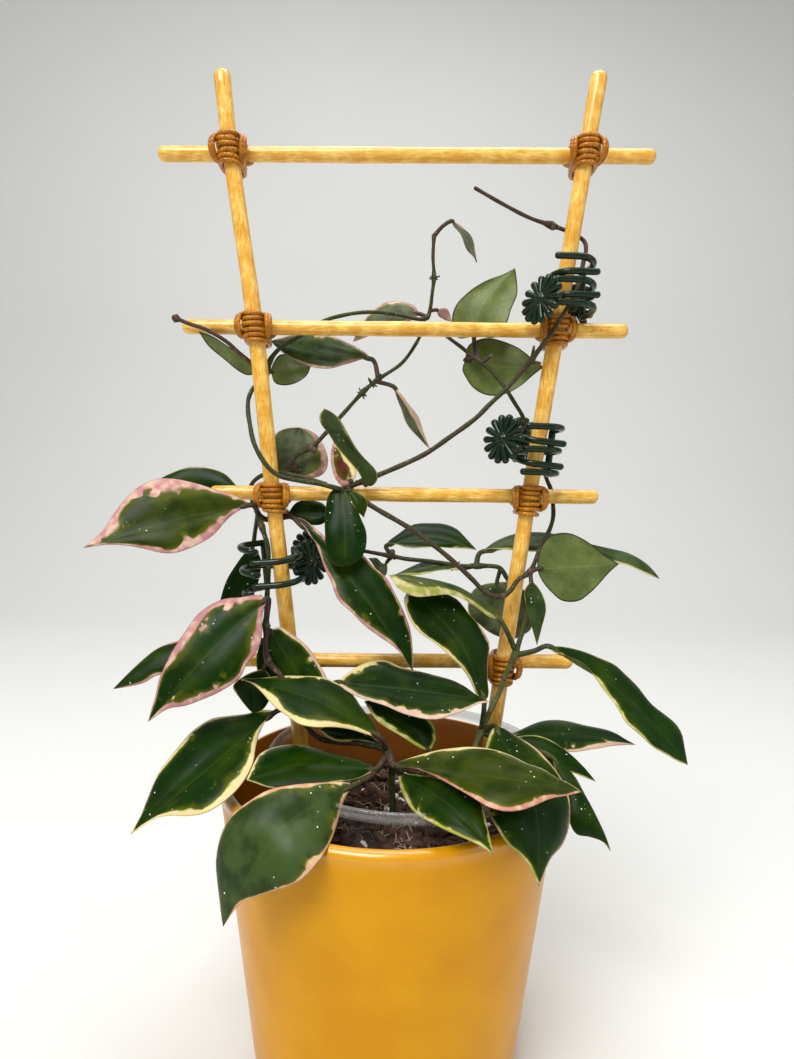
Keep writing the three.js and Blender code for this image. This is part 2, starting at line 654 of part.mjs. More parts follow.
const DIAGONAL_DOWN = {
  radius: 1.3,
  path: [
    [359, 498, 9.5], [375, 508, 8], [414, 531, 6], [447, 556, 4], [472, 579, 2], [485, 592, 0.6],
    [498, 597, 0], [504, 596, 0.4], [511, 590, 1.2], [518, 580, 3], [530, 572, 5],
    [536, 559, 8], [542, 544, 12], [549, 531, 16], [553, 518, 20], [553, 504, 23.6],
    [551, 490, 24], [547, 480, 22], [542, 465, 19], [536, 448, 18], [528, 431, 17],
    [522, 415, 16], [514, 402, 15.5], [506, 389, 15.5], [499, 380, 17], [490, 370, 18],
    [481, 362, 19], [472, 356, 21], [461, 347, 23.2], [449, 338, 24.4], [441, 331, 25],
  ],
  nodes: [[530, 572, 5], [481, 362, 19]],
  leaves: [
    [
      [[480, 361, 19.5], [475, 348, 24]],
      [474, 336, 25], [482, 305, 26], [515, 268, 30], [512, 308, 22], [456, 303, 28],
    ],
    [[[474, 358, 20.5]], [465, 360, 24], [500, 367, 28], [544, 367, 27], [496, 396, 25], [500, 339, 32]],
    [[[530, 572, 5]], [537, 569, 4], [568, 567, 1], [619, 564, -5], [568, 601, 3], [566, 533, 0]],
    [[[530, 573, 5]], [531, 580, 3], [535, 608, 1], [537, 646, 0], [546, 608, 0], [527, 606, 2]],
  ],
};
const RIGHT_VINE = {
  radius: 1.5,
  path: [
    [469, 868, -14], [470, 780, -14], [476, 745, -10], [481, 733, -8], [485, 722, -7],
    [491, 709, -6], [499, 693, -4], [505, 676, -3], [515, 655, -1], [520, 639, 1],
    [525, 620, 6], [526, 600, 13], [520, 589, 17.8], [509, 581, 18.8], [500, 568, 19],
    [490, 566, 19.5], [477, 566, 20], [461, 566, 20], [427, 561, 20], [407, 559, 21],
    [391, 556, 22], [364, 551, 23],
  ],
  nodes: [[481, 733, -8], [515, 655, -1], [477, 566, 20], [391, 556, 22]],
  leaves: [
    [[[483, 731, -8]], [494, 726, -10], [532, 800, -50], [539, 887, -66], [571, 805, -38], [498, 806, -58]],
    [[[484, 735, -8]], [552, 757, -16], [590, 806, -27], [611, 852, -33], [603, 800, -21], [574, 821, -29]],
    [[[484, 734, -7]], [508, 739, -6], [566, 757, -11], [596, 782, -15], [567, 747, -6], [567, 773, -19]],
    [[[484, 733, -7]], [508, 735, 2], [570, 735, 11], [636, 745, 8], [570, 720, 24], [577, 752, 1]],
    [
      [[516, 655, -1], [534, 651, -2]],
      [548, 646, -3], [630, 701, -9], [688, 765, -20], [648, 692, 1], [612, 708, -19],
    ],
    [[[481, 732, -8]], [484, 700, -8], [458, 641, -11], [416, 593, -6], [431, 642, -18], [487, 641, -3]],
    [[[514, 652, -1]], [500, 620, -4], [450, 589, -8], [389, 576, -10], [440, 598, -20], [455, 585, 4]],
    [[[477, 564, 20]], [480, 553, 22], [568, 541, 25], [660, 579, 15], [565, 534, 35], [565, 554, 16]],
    [[[391, 555, 22]], [386, 546, 24], [430, 538, 28], [477, 550, 27], [430, 523, 38], [430, 549, 21]],
    [[[390, 557, 22]], [387, 562, 23], [380, 567, 23], [368, 558, 24], [385, 576, 22], [377, 558, 24]],
    [[[474, 567, 20]], [466, 568, 21], [434, 567, 24], [390, 577, 24], [434, 572, 13], [434, 561, 35]],
    [[[500, 570, 19]], [497, 582, 22], [500, 610, 26], [512, 640, 25], [532, 615, 23], [468, 606, 29]],
  ],
};

// ---- the assembly ---------------------------------------------------------------------------

// Each clip: centre, half size, lean and pitch of its fingers, height of its spring, and its two
// jaws. A jaw has the side that its fingers go round, their free ends and roots in plan, how far
// these lie above the finger's level, and the middle of its grip as it is seen.
const CLIPS = {
  vine_clip_1: {
    x: 72.8, y: 8.5, z: 337.9, halfWidth: 8.9, halfDepth: 11, lean: -0.04, pitch: 4.65, spring: 3,
    jaws: [
      {
        side: 1, free: [-7.6, -10.6], root: [7.1, 7.3], rise: [1.2, -1.2],
        grip: [572, 306, 27], facing: [0.1, 0.9, 0.3],
      },
      {
        side: -1, free: [8.8, -10.4], root: [-7.1, 7.3], rise: [-0.4, -1.2],
        grip: [541, 299, -4], facing: [-0.8, -0.58, 0.2],
      },
    ],
  },
  vine_clip_2: {
    x: 61.1, y: 10.6, z: 268.8, halfWidth: 9.2, halfDepth: 11.3, lean: 0.088, pitch: 4.8, spring: 0,
    jaws: [
      {
        side: 1, free: [-6.6, -11.3], root: [7.6, 7.4], rise: [0.4, -0.4],
        grip: [520, 440, 26], facing: [-0.5, 0.85, 0.1],
      },
      {
        side: -1, free: [9, -10.9], root: [-7.6, 7.4], rise: [-2.1, 3.6],
        grip: [503, 439, -2], facing: [-0.72, -0.68, 0.1],
      },
    ],
  },
  vine_clip_3: {
    x: -53.2, y: 8, z: 213, halfWidth: 12.6, halfDepth: 10.4, lean: -0.1, pitch: 5, spring: 2,
    jaws: [
      {
        side: -1, free: [-5.6, -5], root: [-5, 9.8], rise: [-0.4, 2.4],
        grip: [312, 552, 24], facing: [0.4, 0.8, 0.2],
      },
      {
        side: 1, free: [-6.2, -10.2], root: [8.5, 8], rise: [0.4, 5.2],
        grip: [311, 562, 13.5], facing: [0.75, -0.65, 0.1],
      },
    ],
  },
};

coverPot();
nurseryPot();
trellis();
for (let i = 0; i < RUNGS.length; i++) {
  lashing(`lashing_left_${i + 1}`, LEFT_UPRIGHT, i);
  lashing(`lashing_right_${i + 1}`, RIGHT_UPRIGHT, i);
}
for (const [name, clip] of Object.entries(CLIPS)) vineClip(name, clip);

const STEMS = {
  left_vine: LEFT_VINE,
  low_shoot: LOW_SHOOT,
  left_loop: LEFT_LOOP,
  back_stem: BACK_STEM,
  diagonal_up: DIAGONAL_UP,
  diagonal_down: DIAGONAL_DOWN,
  right_vine: RIGHT_VINE,
};
for (const [name, stem] of Object.entries(STEMS)) leafyStem(name, stem);

const rooted = [LEFT_VINE, LOW_SHOOT, RIGHT_VINE].map((stem) => {
  const points = stemPoints(stem);
  const clear = points.findIndex((point) => point.z > SOIL.level + 4);
  const sunk = points.slice(0, clear + 1);
  return sweep(sunk.map((point) => ({ point, radius: stem.radius + SOIL.slack })), 6);
});
const uprightHoles = [LEFT_UPRIGHT, RIGHT_UPRIGHT].map((upright) => {
  const points = uprightPoints(upright).slice(0, 2);
  const below = points[0].clone().lerp(points[1], -0.02);
  return tube([below, points[1]], UPRIGHT.radius + SOIL.slack, 8, upright.topZ);
});
pottingMix([...rooted, ...uprightHoles]);

export default part;
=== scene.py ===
import math
import random

import bpy
import numpy as np
from mathutils import Matrix, Vector
from numpy.linalg import norm


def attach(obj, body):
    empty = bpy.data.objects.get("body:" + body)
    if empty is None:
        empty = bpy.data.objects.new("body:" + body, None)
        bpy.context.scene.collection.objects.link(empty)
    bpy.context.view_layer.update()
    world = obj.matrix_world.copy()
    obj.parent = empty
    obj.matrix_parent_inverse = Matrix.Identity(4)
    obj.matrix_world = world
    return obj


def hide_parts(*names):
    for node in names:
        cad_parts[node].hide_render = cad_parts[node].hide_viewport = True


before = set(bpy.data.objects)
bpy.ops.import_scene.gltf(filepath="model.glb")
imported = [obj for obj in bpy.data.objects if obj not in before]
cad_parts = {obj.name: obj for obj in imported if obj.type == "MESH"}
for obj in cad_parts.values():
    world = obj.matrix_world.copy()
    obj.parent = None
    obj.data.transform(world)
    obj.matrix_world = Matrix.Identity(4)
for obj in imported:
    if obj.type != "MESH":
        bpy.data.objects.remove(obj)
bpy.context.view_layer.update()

MM = 0.001

# ---- the photograph's camera, in millimetres and pixels ----

IMAGE_WIDTH = 794
IMAGE_HEIGHT = 1059
FOCAL = 706.0
EYE = np.array([1.0, -300.0, 257.0])
PITCH = math.radians(4.4)
ROLL = math.radians(1.15)


def seen_at(px, py, y):
    """The point at depth y that is seen at a pixel of the photograph."""
    across = (px - IMAGE_WIDTH / 2) / FOCAL
    down = (py - IMAGE_HEIGHT / 2) / FOCAL
    right = across * math.cos(ROLL) + down * math.sin(ROLL)
    up = across * math.sin(ROLL) - down * math.cos(ROLL)
    ray = np.array([
        right,
        math.cos(PITCH) + up * math.sin(PITCH),
        up * math.cos(PITCH) - math.sin(PITCH),
    ])
    return EYE + ray * ((y - EYE[1]) / ray[1])


def add_camera():
    data = bpy.data.cameras.new("camera")
    data.sensor_width = 36.0
    data.lens = FOCAL / IMAGE_HEIGHT * data.sensor_width
    data.clip_start = 0.01
    camera = bpy.data.objects.new("camera", data)
    bpy.context.scene.collection.objects.link(camera)
    forward = Vector((0, math.cos(PITCH), -math.sin(PITCH)))
    upward = Vector((0, math.sin(PITCH), math.cos(PITCH)))
    sideways = Vector((1, 0, 0))
    across = math.cos(ROLL) * sideways + math.sin(ROLL) * upward
    above = -math.sin(ROLL) * sideways + math.cos(ROLL) * upward
    turned = Matrix((across, above, -forward)).transposed().to_4x4()
    camera.matrix_world = Matrix.Translation(Vector(EYE) * MM) @ turned
    bpy.context.scene.camera = camera


# ---- meshes ----

STEPS_BETWEEN = 16  # fine steps between two given points of a smooth curve
COLOUR_VALUES = ("tint", "green")  # per-point values that are colours
DOME_SHARES = (0.5, 0.86)  # where a tube's domed cap has its rings


def smooth(points, count):
    """Evenly spaced points on the smooth curve through the given points."""
    given = np.array(points, float)
    chords = np.maximum(norm(np.diff(given, axis=0), axis=1), 1e-6) ** 0.5
    slopes = np.diff(given, axis=0) / chords[:, None]
    tangents = np.empty_like(given)
    tangents[0], tangents[-1] = slopes[0], slopes[-1]
    before, after = chords[:-1, None], chords[1:, None]
    tangents[1:-1] = (slopes[:-1] * after + slopes[1:] * before) / (before + after)
    u = np.linspace(0, 1, STEPS_BETWEEN + 1)[:, None]
    fine = [given[:1]]
    for i, chord in enumerate(chords):
        piece = (
            (2 * u**3 - 3 * u**2 + 1) * given[i]
            + (u**3 - 2 * u**2 + u) * chord * tangents[i]
            + (3 * u**2 - 2 * u**3) * given[i + 1]
            + (u**3 - u**2) * chord * tangents[i + 1]
        )
        fine.append(piece[1:])
    fine = np.vstack(fine)
    reach = np.concatenate([[0], np.cumsum(norm(np.diff(fine, axis=0), axis=1))])
    wanted = np.linspace(0, reach[-1], count)
    return np.column_stack([np.interp(wanted, reach, fine[:, k]) for k in range(given.shape[1])])


class Body:
    """Points in millimetres, faces and per-point values, gathered into one object."""

    def __init__(self):
        self.points, self.faces, self.materials = [], [], []
        self.values = {}

    def add(self, points, faces, materials=0, **values):
        start = len(self.points)
        self.points.extend(np.asarray(points, float).tolist())
        self.faces.extend([tuple(start + v for v in face) for face in faces])
        self.materials.extend([materials] * len(faces) if isinstance(materials, int) else materials)
        for key in {**self.values, **values}:
            width = 4 if key in COLOUR_VALUES else 1
            filled = self.values.setdefault(key, [[0.0] * width] * start)
            given = values.get(key, 0.0)
            rows = np.broadcast_to(np.asarray(given, float).reshape(-1, width), (len(points), width))
            filled.extend(rows.tolist())

    def make(self, name, materials, replaced):
        mesh = bpy.data.meshes.new(name)
        mesh.from_pydata((np.array(self.points) * MM).tolist(), [], self.faces)
        for material in materials:
            mesh.materials.append(material)
        mesh.polygons.foreach_set("material_index", self.materials)
        mesh.polygons.foreach_set("use_smooth", [True] * len(self.faces))
        for key, rows in self.values.items():
            flat = np.array(rows, float).ravel()
            if key in COLOUR_VALUES:
                mesh.attributes.new(key, "FLOAT_COLOR", "POINT").data.foreach_set("color", flat)
            else:
                mesh.attributes.new(key, "FLOAT", "POINT").data.foreach_set("value", flat)
        mesh.validate()
        made = bpy.data.objects.new(name, mesh)
        bpy.context.scene.collection.objects.link(made)
        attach(made, "root")
        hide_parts(replaced)


def ring_faces(rows, sides):
    """Quads between rings of points, and a fan round the point that closes each end."""
    faces = []
    for i in range(rows - 1):
        for j in range(sides):
            a, b = i * sides + j, i * sides + (j + 1) % sides
            faces.append((a, b, b + sides, a + sides))
    first, last = rows * sides, rows * sides + 1
    end = (rows - 1) * sides
    for j in range(sides):
        k = (j + 1) % sides
        faces += [(first, k, j), (last, end + j, end + k)]
    return faces


def frames_along(points):
    """A side and another side square to the path at each of its points, carried without twist."""
    along = np.gradient(points, axis=0)
    along /= np.maximum(norm(along, axis=1, keepdims=True), 1e-9)
    side = np.cross([0.31, 0.2, 0.93], along[0])
    sides = []
    for direction in along:
        side = side - direction * side.dot(direction)
        side = side / norm(side)
        sides.append(side)
    sides = np.array(sides)
    return along, sides, np.cross(along, sides)


def add_tube(body, points, radii, sides=10, dome=0.6, **values):
    """A round tube with domed caps. Values are one for each point, or the angle for "around"."""
    points = np.asarray(points, float)
    radii = np.broadcast_to(np.asarray(radii, float), len(points)).copy()
    along, side, other = frames_along(points)
    rows, sizes = list(points), list(radii)
    for share in DOME_SHARES:
        rows.insert(0, points[0] - along[0] * radii[0] * dome * share)
        sizes.insert(0, radii[0] * math.sqrt(1 - share**2))
        rows.append(points[-1] + along[-1] * radii[-1] * dome * share)
        sizes.append(radii[-1] * math.sqrt(1 - share**2))

    def padded(each):
        extra = len(DOME_SHARES)
        return np.concatenate([[each[0]] * extra, each, [each[-1]] * extra])

    angles = np.arange(sides) * 2 * math.pi / sides
    made = []
    for row, size, a, b in zip(rows, sizes, padded(side), padded(other)):
        made.extend(row + size * (math.cos(t) * a + math.sin(t) * b) for t in angles)
    made.append(points[0] - along[0] * radii[0] * dome)
    made.append(points[-1] + along[-1] * radii[-1] * dome)
    for key, value in values.items():
        if key == "around":
            values[key] = [*np.tile(angles, len(rows)), 0.0, 0.0]
        else:
            values[key] = [*np.repeat(padded(value), sides), value[0], value[-1]]
    body.add(made, ring_faces(len(rows), sides), **values)


def add_lathe(body, outline, sides, x=0.0, y=0.0):
    """A turned shape from (radius, height) pairs that start and end on the axis."""
    rows = outline[1:-1]
    angles = np.arange(sides) * 2 * math.pi / sides
    points = [(x + r * math.cos(t), y + r * math.sin(t), z) for r, z in rows for t in angles]
    points += [(x, y, outline[0][1]), (x, y, outline[-1][1])]
    body.add(points, ring_faces(len(rows), sides))


# ---- materials ----


class Nodes:
    """A material's nodes, with a short way to add and join them."""

    def __init__(self, name, **values):
        self.material = bpy.data.materials.new(name)
        self.material.use_nodes = True
        self.tree = self.material.node_tree
        self.shader = self.tree.nodes["Principled BSDF"]
        for socket, value in values.items():
            self.shader.inputs[socket.replace("_", " ")].default_value = value

    def give(self, socket, value):
        if hasattr(value, "is_output"):
            self.tree.links.new(value, socket)
        else:
            socket.default_value = value

    def add(self, kind, settings=(), **inputs):
        """A node. Its inputs go by name, or by number after an underscore."""
        node = self.tree.nodes.new("ShaderNode" + kind)
        for key, value in dict(settings).items():
            setattr(node, key, value)
        for key, value in inputs.items():
            self.give(node.inputs[int(key[1:]) if key[1:].isdigit() else key.replace("_", " ")], value)
        return node

    def attribute(self, name, output="Fac"):
        return self.add("Attribute", {"attribute_name": name}).outputs[output]

    def maths(self, operation, a, b=0.0, **more):
        return self.add("Math", {"operation": operation}, _0=a, _1=b, **more).outputs[0]

    def times(self, a, b):
        return self.maths("MULTIPLY", a, b)

    def ramp(self, value, factor, start):
        return self.maths("MULTIPLY_ADD", value, factor, _2=start)

    def step(self, value, low, high):
        """0 below low, 1 above high, smooth between."""
        settings = {"interpolation_type": "SMOOTHSTEP"}
        node = self.add("MapRange", settings, Value=value, From_Min=low, From_Max=high)
        return node.outputs["Result"]

    def mix(self, share, a, b):
        """Two colours mixed, each a socket, a linear colour or three 8-bit values."""
        node = self.add("Mix", {"data_type": "RGBA"})
        for number, value in ((0, share), (6, a), (7, b)):
            screen = isinstance(value, tuple) and len(value) == 3
            self.give(node.inputs[number], colour(*value) if screen else value)
        return node.outputs[2]

    def base(self, share, a, b):
        self.link(self.mix(share, a, b), "Base Color")

    def place(self, scale=None):
        position = self.add("TexCoord").outputs["Object"]
        return self.add("Mapping", {}, Vector=position, Scale=scale).outputs[0] if scale else position

    def height(self):
        return self.add("SeparateXYZ", {}, Vector=self.place()).outputs[2]

    def noise(self, size, detail, where=None, rough=0.5):
        """Noise between 0 and 1 with features about size millimetres across."""
        where = where or self.place()
        node = self.add("TexNoise", {}, Vector=where, Scale=1000 / size, Detail=detail, Roughness=rough)
        return node.outputs[0]

    def patches(self, size, detail, low, high):
        """Noise cut into patches with soft edges."""
        return self.step(self.noise(size, detail), low, high)

    def relief(self, size, detail, distance, strength):
        self.bump(self.noise(size, detail), distance, strength)

    def bump(self, height, distance, strength):
        node = self.add("Bump", {}, Height=height, Distance=distance * MM, Strength=strength)
        self.link(node.outputs[0], "Normal")

    def link(self, value, socket):
        self.tree.links.new(value, self.shader.inputs[socket])


def colour(red, green, blue):
    """A linear colour from 8-bit values as they look on a screen."""
    shares = [value / 255 for value in (red, green, blue)]
    linear = [s / 12.92 if s <= 0.04045 else ((s + 0.055) / 1.055) ** 2.4 for s in shares]
    return (*linear, 1.0)


def mottled_material(name, mottle, low, high, relief=None, **settings):
    """Two colours mixed by noise of (size, detail), and a relief of (size, detail, depth, strength)."""
    m = Nodes(name, **settings)
    m.base(m.noise(*mottle), low, high)
    if relief:
        m.relief(*relief)
    return m.material


def glaze_material():
    m = Nodes("glaze", Roughness=0.3, IOR=1.5, Specular_IOR_Level=0.06, Coat_Roughness=0.2)
    cloudy = m.patches(26, 4, 0.3, 0.75)
    speck = m.patches(0.9, 1, 0.7, 0.78)
    outside = m.mix(speck, m.mix(cloudy, (204, 138, 0), (214, 150, 0)), (196, 126, 0))
    # the inner wall, whose faces look towards the axis, is painted browner: painted shade inside the pot
    normal = m.add("NewGeometry").outputs["Normal"]
    outwards = m.add("VectorMath", {"operation": "DOT_PRODUCT"}, _0=normal, _1=m.place((1, 1, 0)))
    m.base(m.step(outwards.outputs["Value"], -0.005, -0.04), outside, (156, 90, 6))
    lip = m.step(m.height(), 0.1225, 0.128)  # the glaze is thickest and glossiest there
    m.link(m.ramp(lip, 1.0, 0.2), "Coat Weight")
    m.relief(14, 2, 0.2, 0.2)
    return m.material


def clear_material():
    """Clear plastic: see-through, denser at its rim and where it is seen at a slant."""
    m = Nodes("clear_plastic", Roughness=0.08, IOR=1.45, Specular_IOR_Level=0.8)
    m.base(m.noise(18, 2), (150, 146, 144), (184, 182, 180))
    slant = m.step(m.add("LayerWeight", {}, Blend=0.35).outputs["Facing"], 0.2, 1.0)
    rim = m.step(m.height(), 0.1342, 0.1352)
    m.link(m.ramp(rim, 0.25, m.ramp(slant, 0.45, 0.025)), "Alpha")
    m.relief(7, 2, 0.1, 0.2)
    return m.material


def soil_material():
    m = Nodes("potting_mix", Roughness=0.9)
    dark = m.mix(m.patches(3.2, 5, 0.35, 0.7), (20, 12, 8), (60, 34, 19))
    m.base(m.patches(11, 3, 0.55, 0.75), dark, (76, 42, 22))
    m.relief(1.6, 5, 1.2, 0.9)
    return m.material


def cane_material(name, stretch):
    """Varnished wood, its grain drawn out along one axis."""
    m = Nodes(name, Roughness=0.3, Specular_IOR_Level=0.3, Coat_Weight=0.4, Coat_Roughness=0.1)
    grain = m.noise(0.8, 4, m.place(stretch), 0.65)
    wood = m.mix(m.patches(7, 4, 0.36, 0.68), (222, 162, 54), (244, 200, 100))
    streaks = m.mix(m.step(grain, 0.34, 0.52), (208, 146, 42), wood)
    m.base(m.step(grain, 0.58, 0.74), streaks, (252, 226, 150))
    m.bump(grain, 0.2, 0.35)
    return m.material


def cord_material():
    """Waxed cord: golden brown, finely ribbed across by its twist, with painted shade darkening the
    grooves between strands.
    """
    m = Nodes("cord", Roughness=0.3, Specular_IOR_Level=0.2, Coat_Weight=0.35, Coat_Roughness=0.1)
    turn = m.ramp(m.attribute("along"), 4.6, m.times(m.attribute("around"), 2.0))
    strand = m.ramp(m.maths("SINE", turn), 0.5, 0.5)
    waxed = m.mix(m.patches(3.0, 3, 0.3, 0.7), (152, 88, 2), (200, 132, 18))
    # painted shade: the grooves between the strands are drawn darker
    m.base(m.step(strand, 0.4, 0.0), waxed, (150, 88, 4))
    m.bump(strand, 0.1, 0.4)
    return m.material


def specks(m):
    """White mineral specks of two sizes, thick in some places."""
    found = []
    for cell_size, low, often, crowd in ((3.0, 0.13, 0.5, 0.5), (1.7, 0.12, 0.72, 0.56)):
        cell = m.add("TexVoronoi", {}, Vector=m.place(), Scale=1000 / cell_size)
        spot = m.step(cell.outputs["Distance"], low, low * 0.5)
        chance = m.add("SeparateColor", {}, Color=cell.outputs["Color"]).outputs[0]
        chosen = m.times(spot, m.step(chance, often, often + 0.02))
        found.append(m.times(chosen, m.patches(11, 2, crowd, crowd + 0.1)))
    return m.maths("MAXIMUM", *found)


def leaf_top_material():
    m = Nodes("leaf_top", IOR=1.5, Specular_IOR_Level=0.1)
    edge, rim, across = m.attribute("edge"), m.attribute("rim"), m.attribute("across")
    # the green: uneven, more yellow in some places, deeper in others, paler on the midrib
    yellow = m.times(m.patches(17, 3, 0.42, 0.72), 0.6)
    # on some leaves the per-leaf green is a grey-green that stands for their sheen: painted sheen
    base = m.mix(yellow, m.attribute("green", "Color"), (50, 66, 2))
    base = m.mix(m.times(m.patches(10, 4, 0.6, 0.36), 0.6), base, (8, 30, 2))
    base = m.mix(m.times(m.step(m.maths("ABSOLUTE", across), 0.05, 0.01), 0.15), base, (84, 100, 40))
    # the variegated border: uneven, with patches that reach in and an olive edge on its inner side
    swell = m.ramp(m.patches(18, 2, 0.34, 0.66), 0.8, 0.5)
    patch = m.ramp(m.patches(8, 2, 0.56, 0.68), 0.9, swell)
    width = m.maths("MAXIMUM", m.times(rim, patch), 0.03)
    depth = m.maths("ADD", m.maths("DIVIDE", edge, width), m.ramp(m.noise(2.6, 3), 0.5, -0.25))
    shown = m.step(rim, 0.1, 0.5)
    inner, outer = (m.times(m.step(depth, *reach), shown) for reach in ((2.3, 0.9), (1.22, 0.78)))
    mottled = m.times(m.patches(4.5, 4, 0.42, 0.66), 0.55)
    pale = m.mix(mottled, m.attribute("tint", "Color"), (222, 200, 164))
    pale = m.mix(m.times(m.step(edge, 0.6, 0.1), 0.3), pale, (150, 92, 76))
    surface = m.mix(outer, m.mix(m.times(inner, 0.6), base, (92, 98, 12)), pale)
    dots = specks(m)
    m.base(dots, surface, (232, 234, 226))
    m.link(m.ramp(m.noise(5, 3), 0.2, 0.24), "Roughness")
    m.bump(m.maths("ADD", m.noise(2.6, 3), m.times(dots, 0.6)), 0.16, 0.25)
    return m.material


def leaf_under_material():
    m = Nodes("leaf_under", Roughness=0.45, IOR=1.45, Specular_IOR_Level=0.3)
    base = m.mix(m.patches(9, 4, 0.3, 0.7), (76, 90, 32), (112, 124, 60))
    fine = m.mix(m.patches(1.1, 3, 0.4, 0.7), base, (88, 104, 54))
    rimmed = m.mix(m.step(m.attribute("edge"), 1.1, 0.25), fine, (40, 36, 18))
    midrib = m.step(m.maths("ABSOLUTE", m.attribute("across")), 0.06, 0.02)
    m.base(m.times(midrib, 0.15), rimmed, (140, 150, 94))
    m.relief(1.5, 4, 0.2, 0.35)
    return m.material


def stem_material():
    """Light olive at a tone of -1, olive at 0, brown at 1 and pale at 2, with pale scars."""
    m = Nodes("stem", Roughness=0.45, Specular_IOR_Level=0.18)
    tone = m.attribute("tone")
    olive = m.mix(m.noise(3, 3), (26, 32, 12), (68, 76, 38))
    young = m.mix(m.noise(3, 3), (48, 56, 24), (112, 118, 70))
    green = m.mix(m.step(tone, -0.1, -0.6), olive, young)
    brown = m.mix(m.noise(4, 3), (38, 25, 21), (90, 65, 55))
    shifted = m.maths("ADD", tone, m.ramp(m.noise(12, 2), 0.6, -0.3))
    bark = m.mix(m.step(shifted, 0.2, 0.8), green, brown)
    scar = m.times(m.patches(0.9, 3, 0.62, 0.72), 0.6)
    scar = m.maths("MAXIMUM", scar, m.times(m.step(tone, 1.2, 1.8), 0.75))
    m.base(scar, bark, (164, 154, 124))
    m.relief(1.0, 4, 0.3, 0.6)
    return m.material


# ---- pots and potting mix ----

COVER = {"rim": 72.5, "foot": 56.5, "height": 130.0, "wall": 4.0, "floor": 7.0}
NURSERY = {"x": 7.5, "y": -2.0, "rim": 60.0, "top": 139.0, "wall_top": 57.5, "foot": 42.0, "z": 7.4}
NURSERY_WALL = 1.2
POT_SIDES = 128
SOIL_LEVEL = 110.0
SOIL_RADIUS = 51.6
LOOSE_PIECES = 520  # on the surface
WALL_PIECES = 420  # pressed against the clear wall, seen through it
FINE_ROOTS = 150
SURFACE_MIX = (0.16, (0.9, 1.7), (1.4, 4.2))  # the share of perlite, its sizes and the bark's
WALL_MIX = (0.25, (0.8, 1.6), (1.5, 3.6))
BARK = ((4, 3), (38, 22, 13), (92, 54, 31), (1.0, 4, 0.5, 0.8))
PERLITE = ((1.5, 3), (206, 200, 190), (245, 242, 236), (0.7, 3, 0.3, 0.8))
PALE_ROOT = ((3, 2), (124, 98, 70), (188, 168, 138))


def arc(centre_r, centre_z, radius, start, end, count=6):
    """Points on a quarter or half round of a turned outline, angles in degrees."""
    angles = np.radians(np.linspace(start, end, count))
    return [(centre_r + radius * math.cos(a), centre_z + radius * math.sin(a)) for a in angles]


def cover_pot():
    rim, foot, height = COVER["rim"], COVER["foot"], COVER["height"]
    wall, floor = COVER["wall"], COVER["floor"]
    taper = (rim - foot) / height
    inside = foot - wall
    outline = [(0, 0), (foot - 3, 0)]
    outline += arc(foot - 1.6, 1.6, 1.6, -90, 0)
    outline += [(foot + taper * z, z) for z in (12, 40, 70, 100, 118)]
    outline += arc(rim - 3.5, height - 3.2, 3.2, 0, 90, 14)  # the outer edge rolls in to the lip
    outline += arc(rim - 3.5, height - 0.5, 0.5, 100, 180, 5)
    outline += [(inside + taper * z, z) for z in (118, 90, 60, 30, 14)]
    outline += arc(inside + taper * floor - 5, floor + 5, 5, 0, -90)
    outline += [(0, floor)]
    body = Body()
    add_lathe(body, outline, POT_SIDES)
    body.make("cover_pot_glazed", [glaze_material()], "cover_pot")


def nursery_radius(z):
    share = (z - NURSERY["z"]) / (NURSERY["top"] - 4 - NURSERY["z"])
    return NURSERY["foot"] + (NURSERY["wall_top"] - NURSERY["foot"]) * share


def nursery_pot():
    rim, top, foot, floor = NURSERY["rim"], NURSERY["top"], NURSERY["foot"], NURSERY["z"]
    outline = [(0, floor), (foot - 1, floor)]
    outline += [(nursery_radius(z), z) for z in (9, 20, 60, 100, 128, 134)]
    outline += [(rim - 0.6, 134.6), (rim, 135.2), (rim, 136.4), (rim - 0.5, 136.9), (rim - 0.5, 137.6)]
    outline += arc(rim - 1.0, top - 0.9, 0.9, 0, 180, 8)
    outline += [(rim - 2.2, 136.2)]
    outline += [(nursery_radius(z) - NURSERY_WALL, z) for z in (132, 128, 100, 60, 20)]
    outline += [(foot - 2, floor + 1.4), (0, floor + 1.4)]
    body = Body()
    add_lathe(body, outline, POT_SIDES, NURSERY["x"], NURSERY["y"])
    body.make("nursery_pot_clear", [clear_material()], "nursery_pot")


def soil_height(x, y):
    """The mix's surface: smooth lumps of bark under the loose pieces."""
    coarse = math.sin(0.31 * x + 0.9) * math.cos(0.27 * y - 0.4)
    fine = math.sin(0.73 * x - 0.52 * y + 1.7) * math.cos(0.61 * y + 0.33 * x)
    return SOIL_LEVEL + 1.6 * (0.6 * coarse + 0.5 * fine)


def lump(rng, size, flat, sides=7):
    """A rough pebble as points round the origin, and its faces."""
    points = []
    stretch = np.array([rng.uniform(0.8, 1.3), rng.uniform(0.6, 1.0), flat]) * size
    for level, wide in ((-0.7, 0.6), (0.0, 1.0), (0.65, 0.65)):
        for j in range(sides):
            angle = 2 * math.pi * (j + rng.uniform(-0.2, 0.2)) / sides
            reach = wide * rng.uniform(0.8, 1.15)
            points.append((reach * math.cos(angle), reach * math.sin(angle), level))
    points += [(0, 0, -1.0), (0, 0, 0.95)]
    return np.array(points) * stretch, ring_faces(3, sides)


def pick(rng, white_share, white_sizes, bark_sizes):
    """Whether a loose piece is perlite, and its size."""
    white = rng.random() < white_share
    return white, rng.uniform(*(white_sizes if white else bark_sizes))


def turned(points, rng):
    """The points turned by a random angle round a random axis."""
    axis = Vector([rng.uniform(-1, 1) for _ in range(3)]).normalized()
    return points @ np.array(Matrix.Rotation(rng.uniform(0, math.tau), 3, axis))


def at_radius(reach, angle):
    """A place in plan at a distance from the nursery pot's axis."""
    return NURSERY["x"] + reach * math.cos(angle), NURSERY["y"] + reach * math.sin(angle)


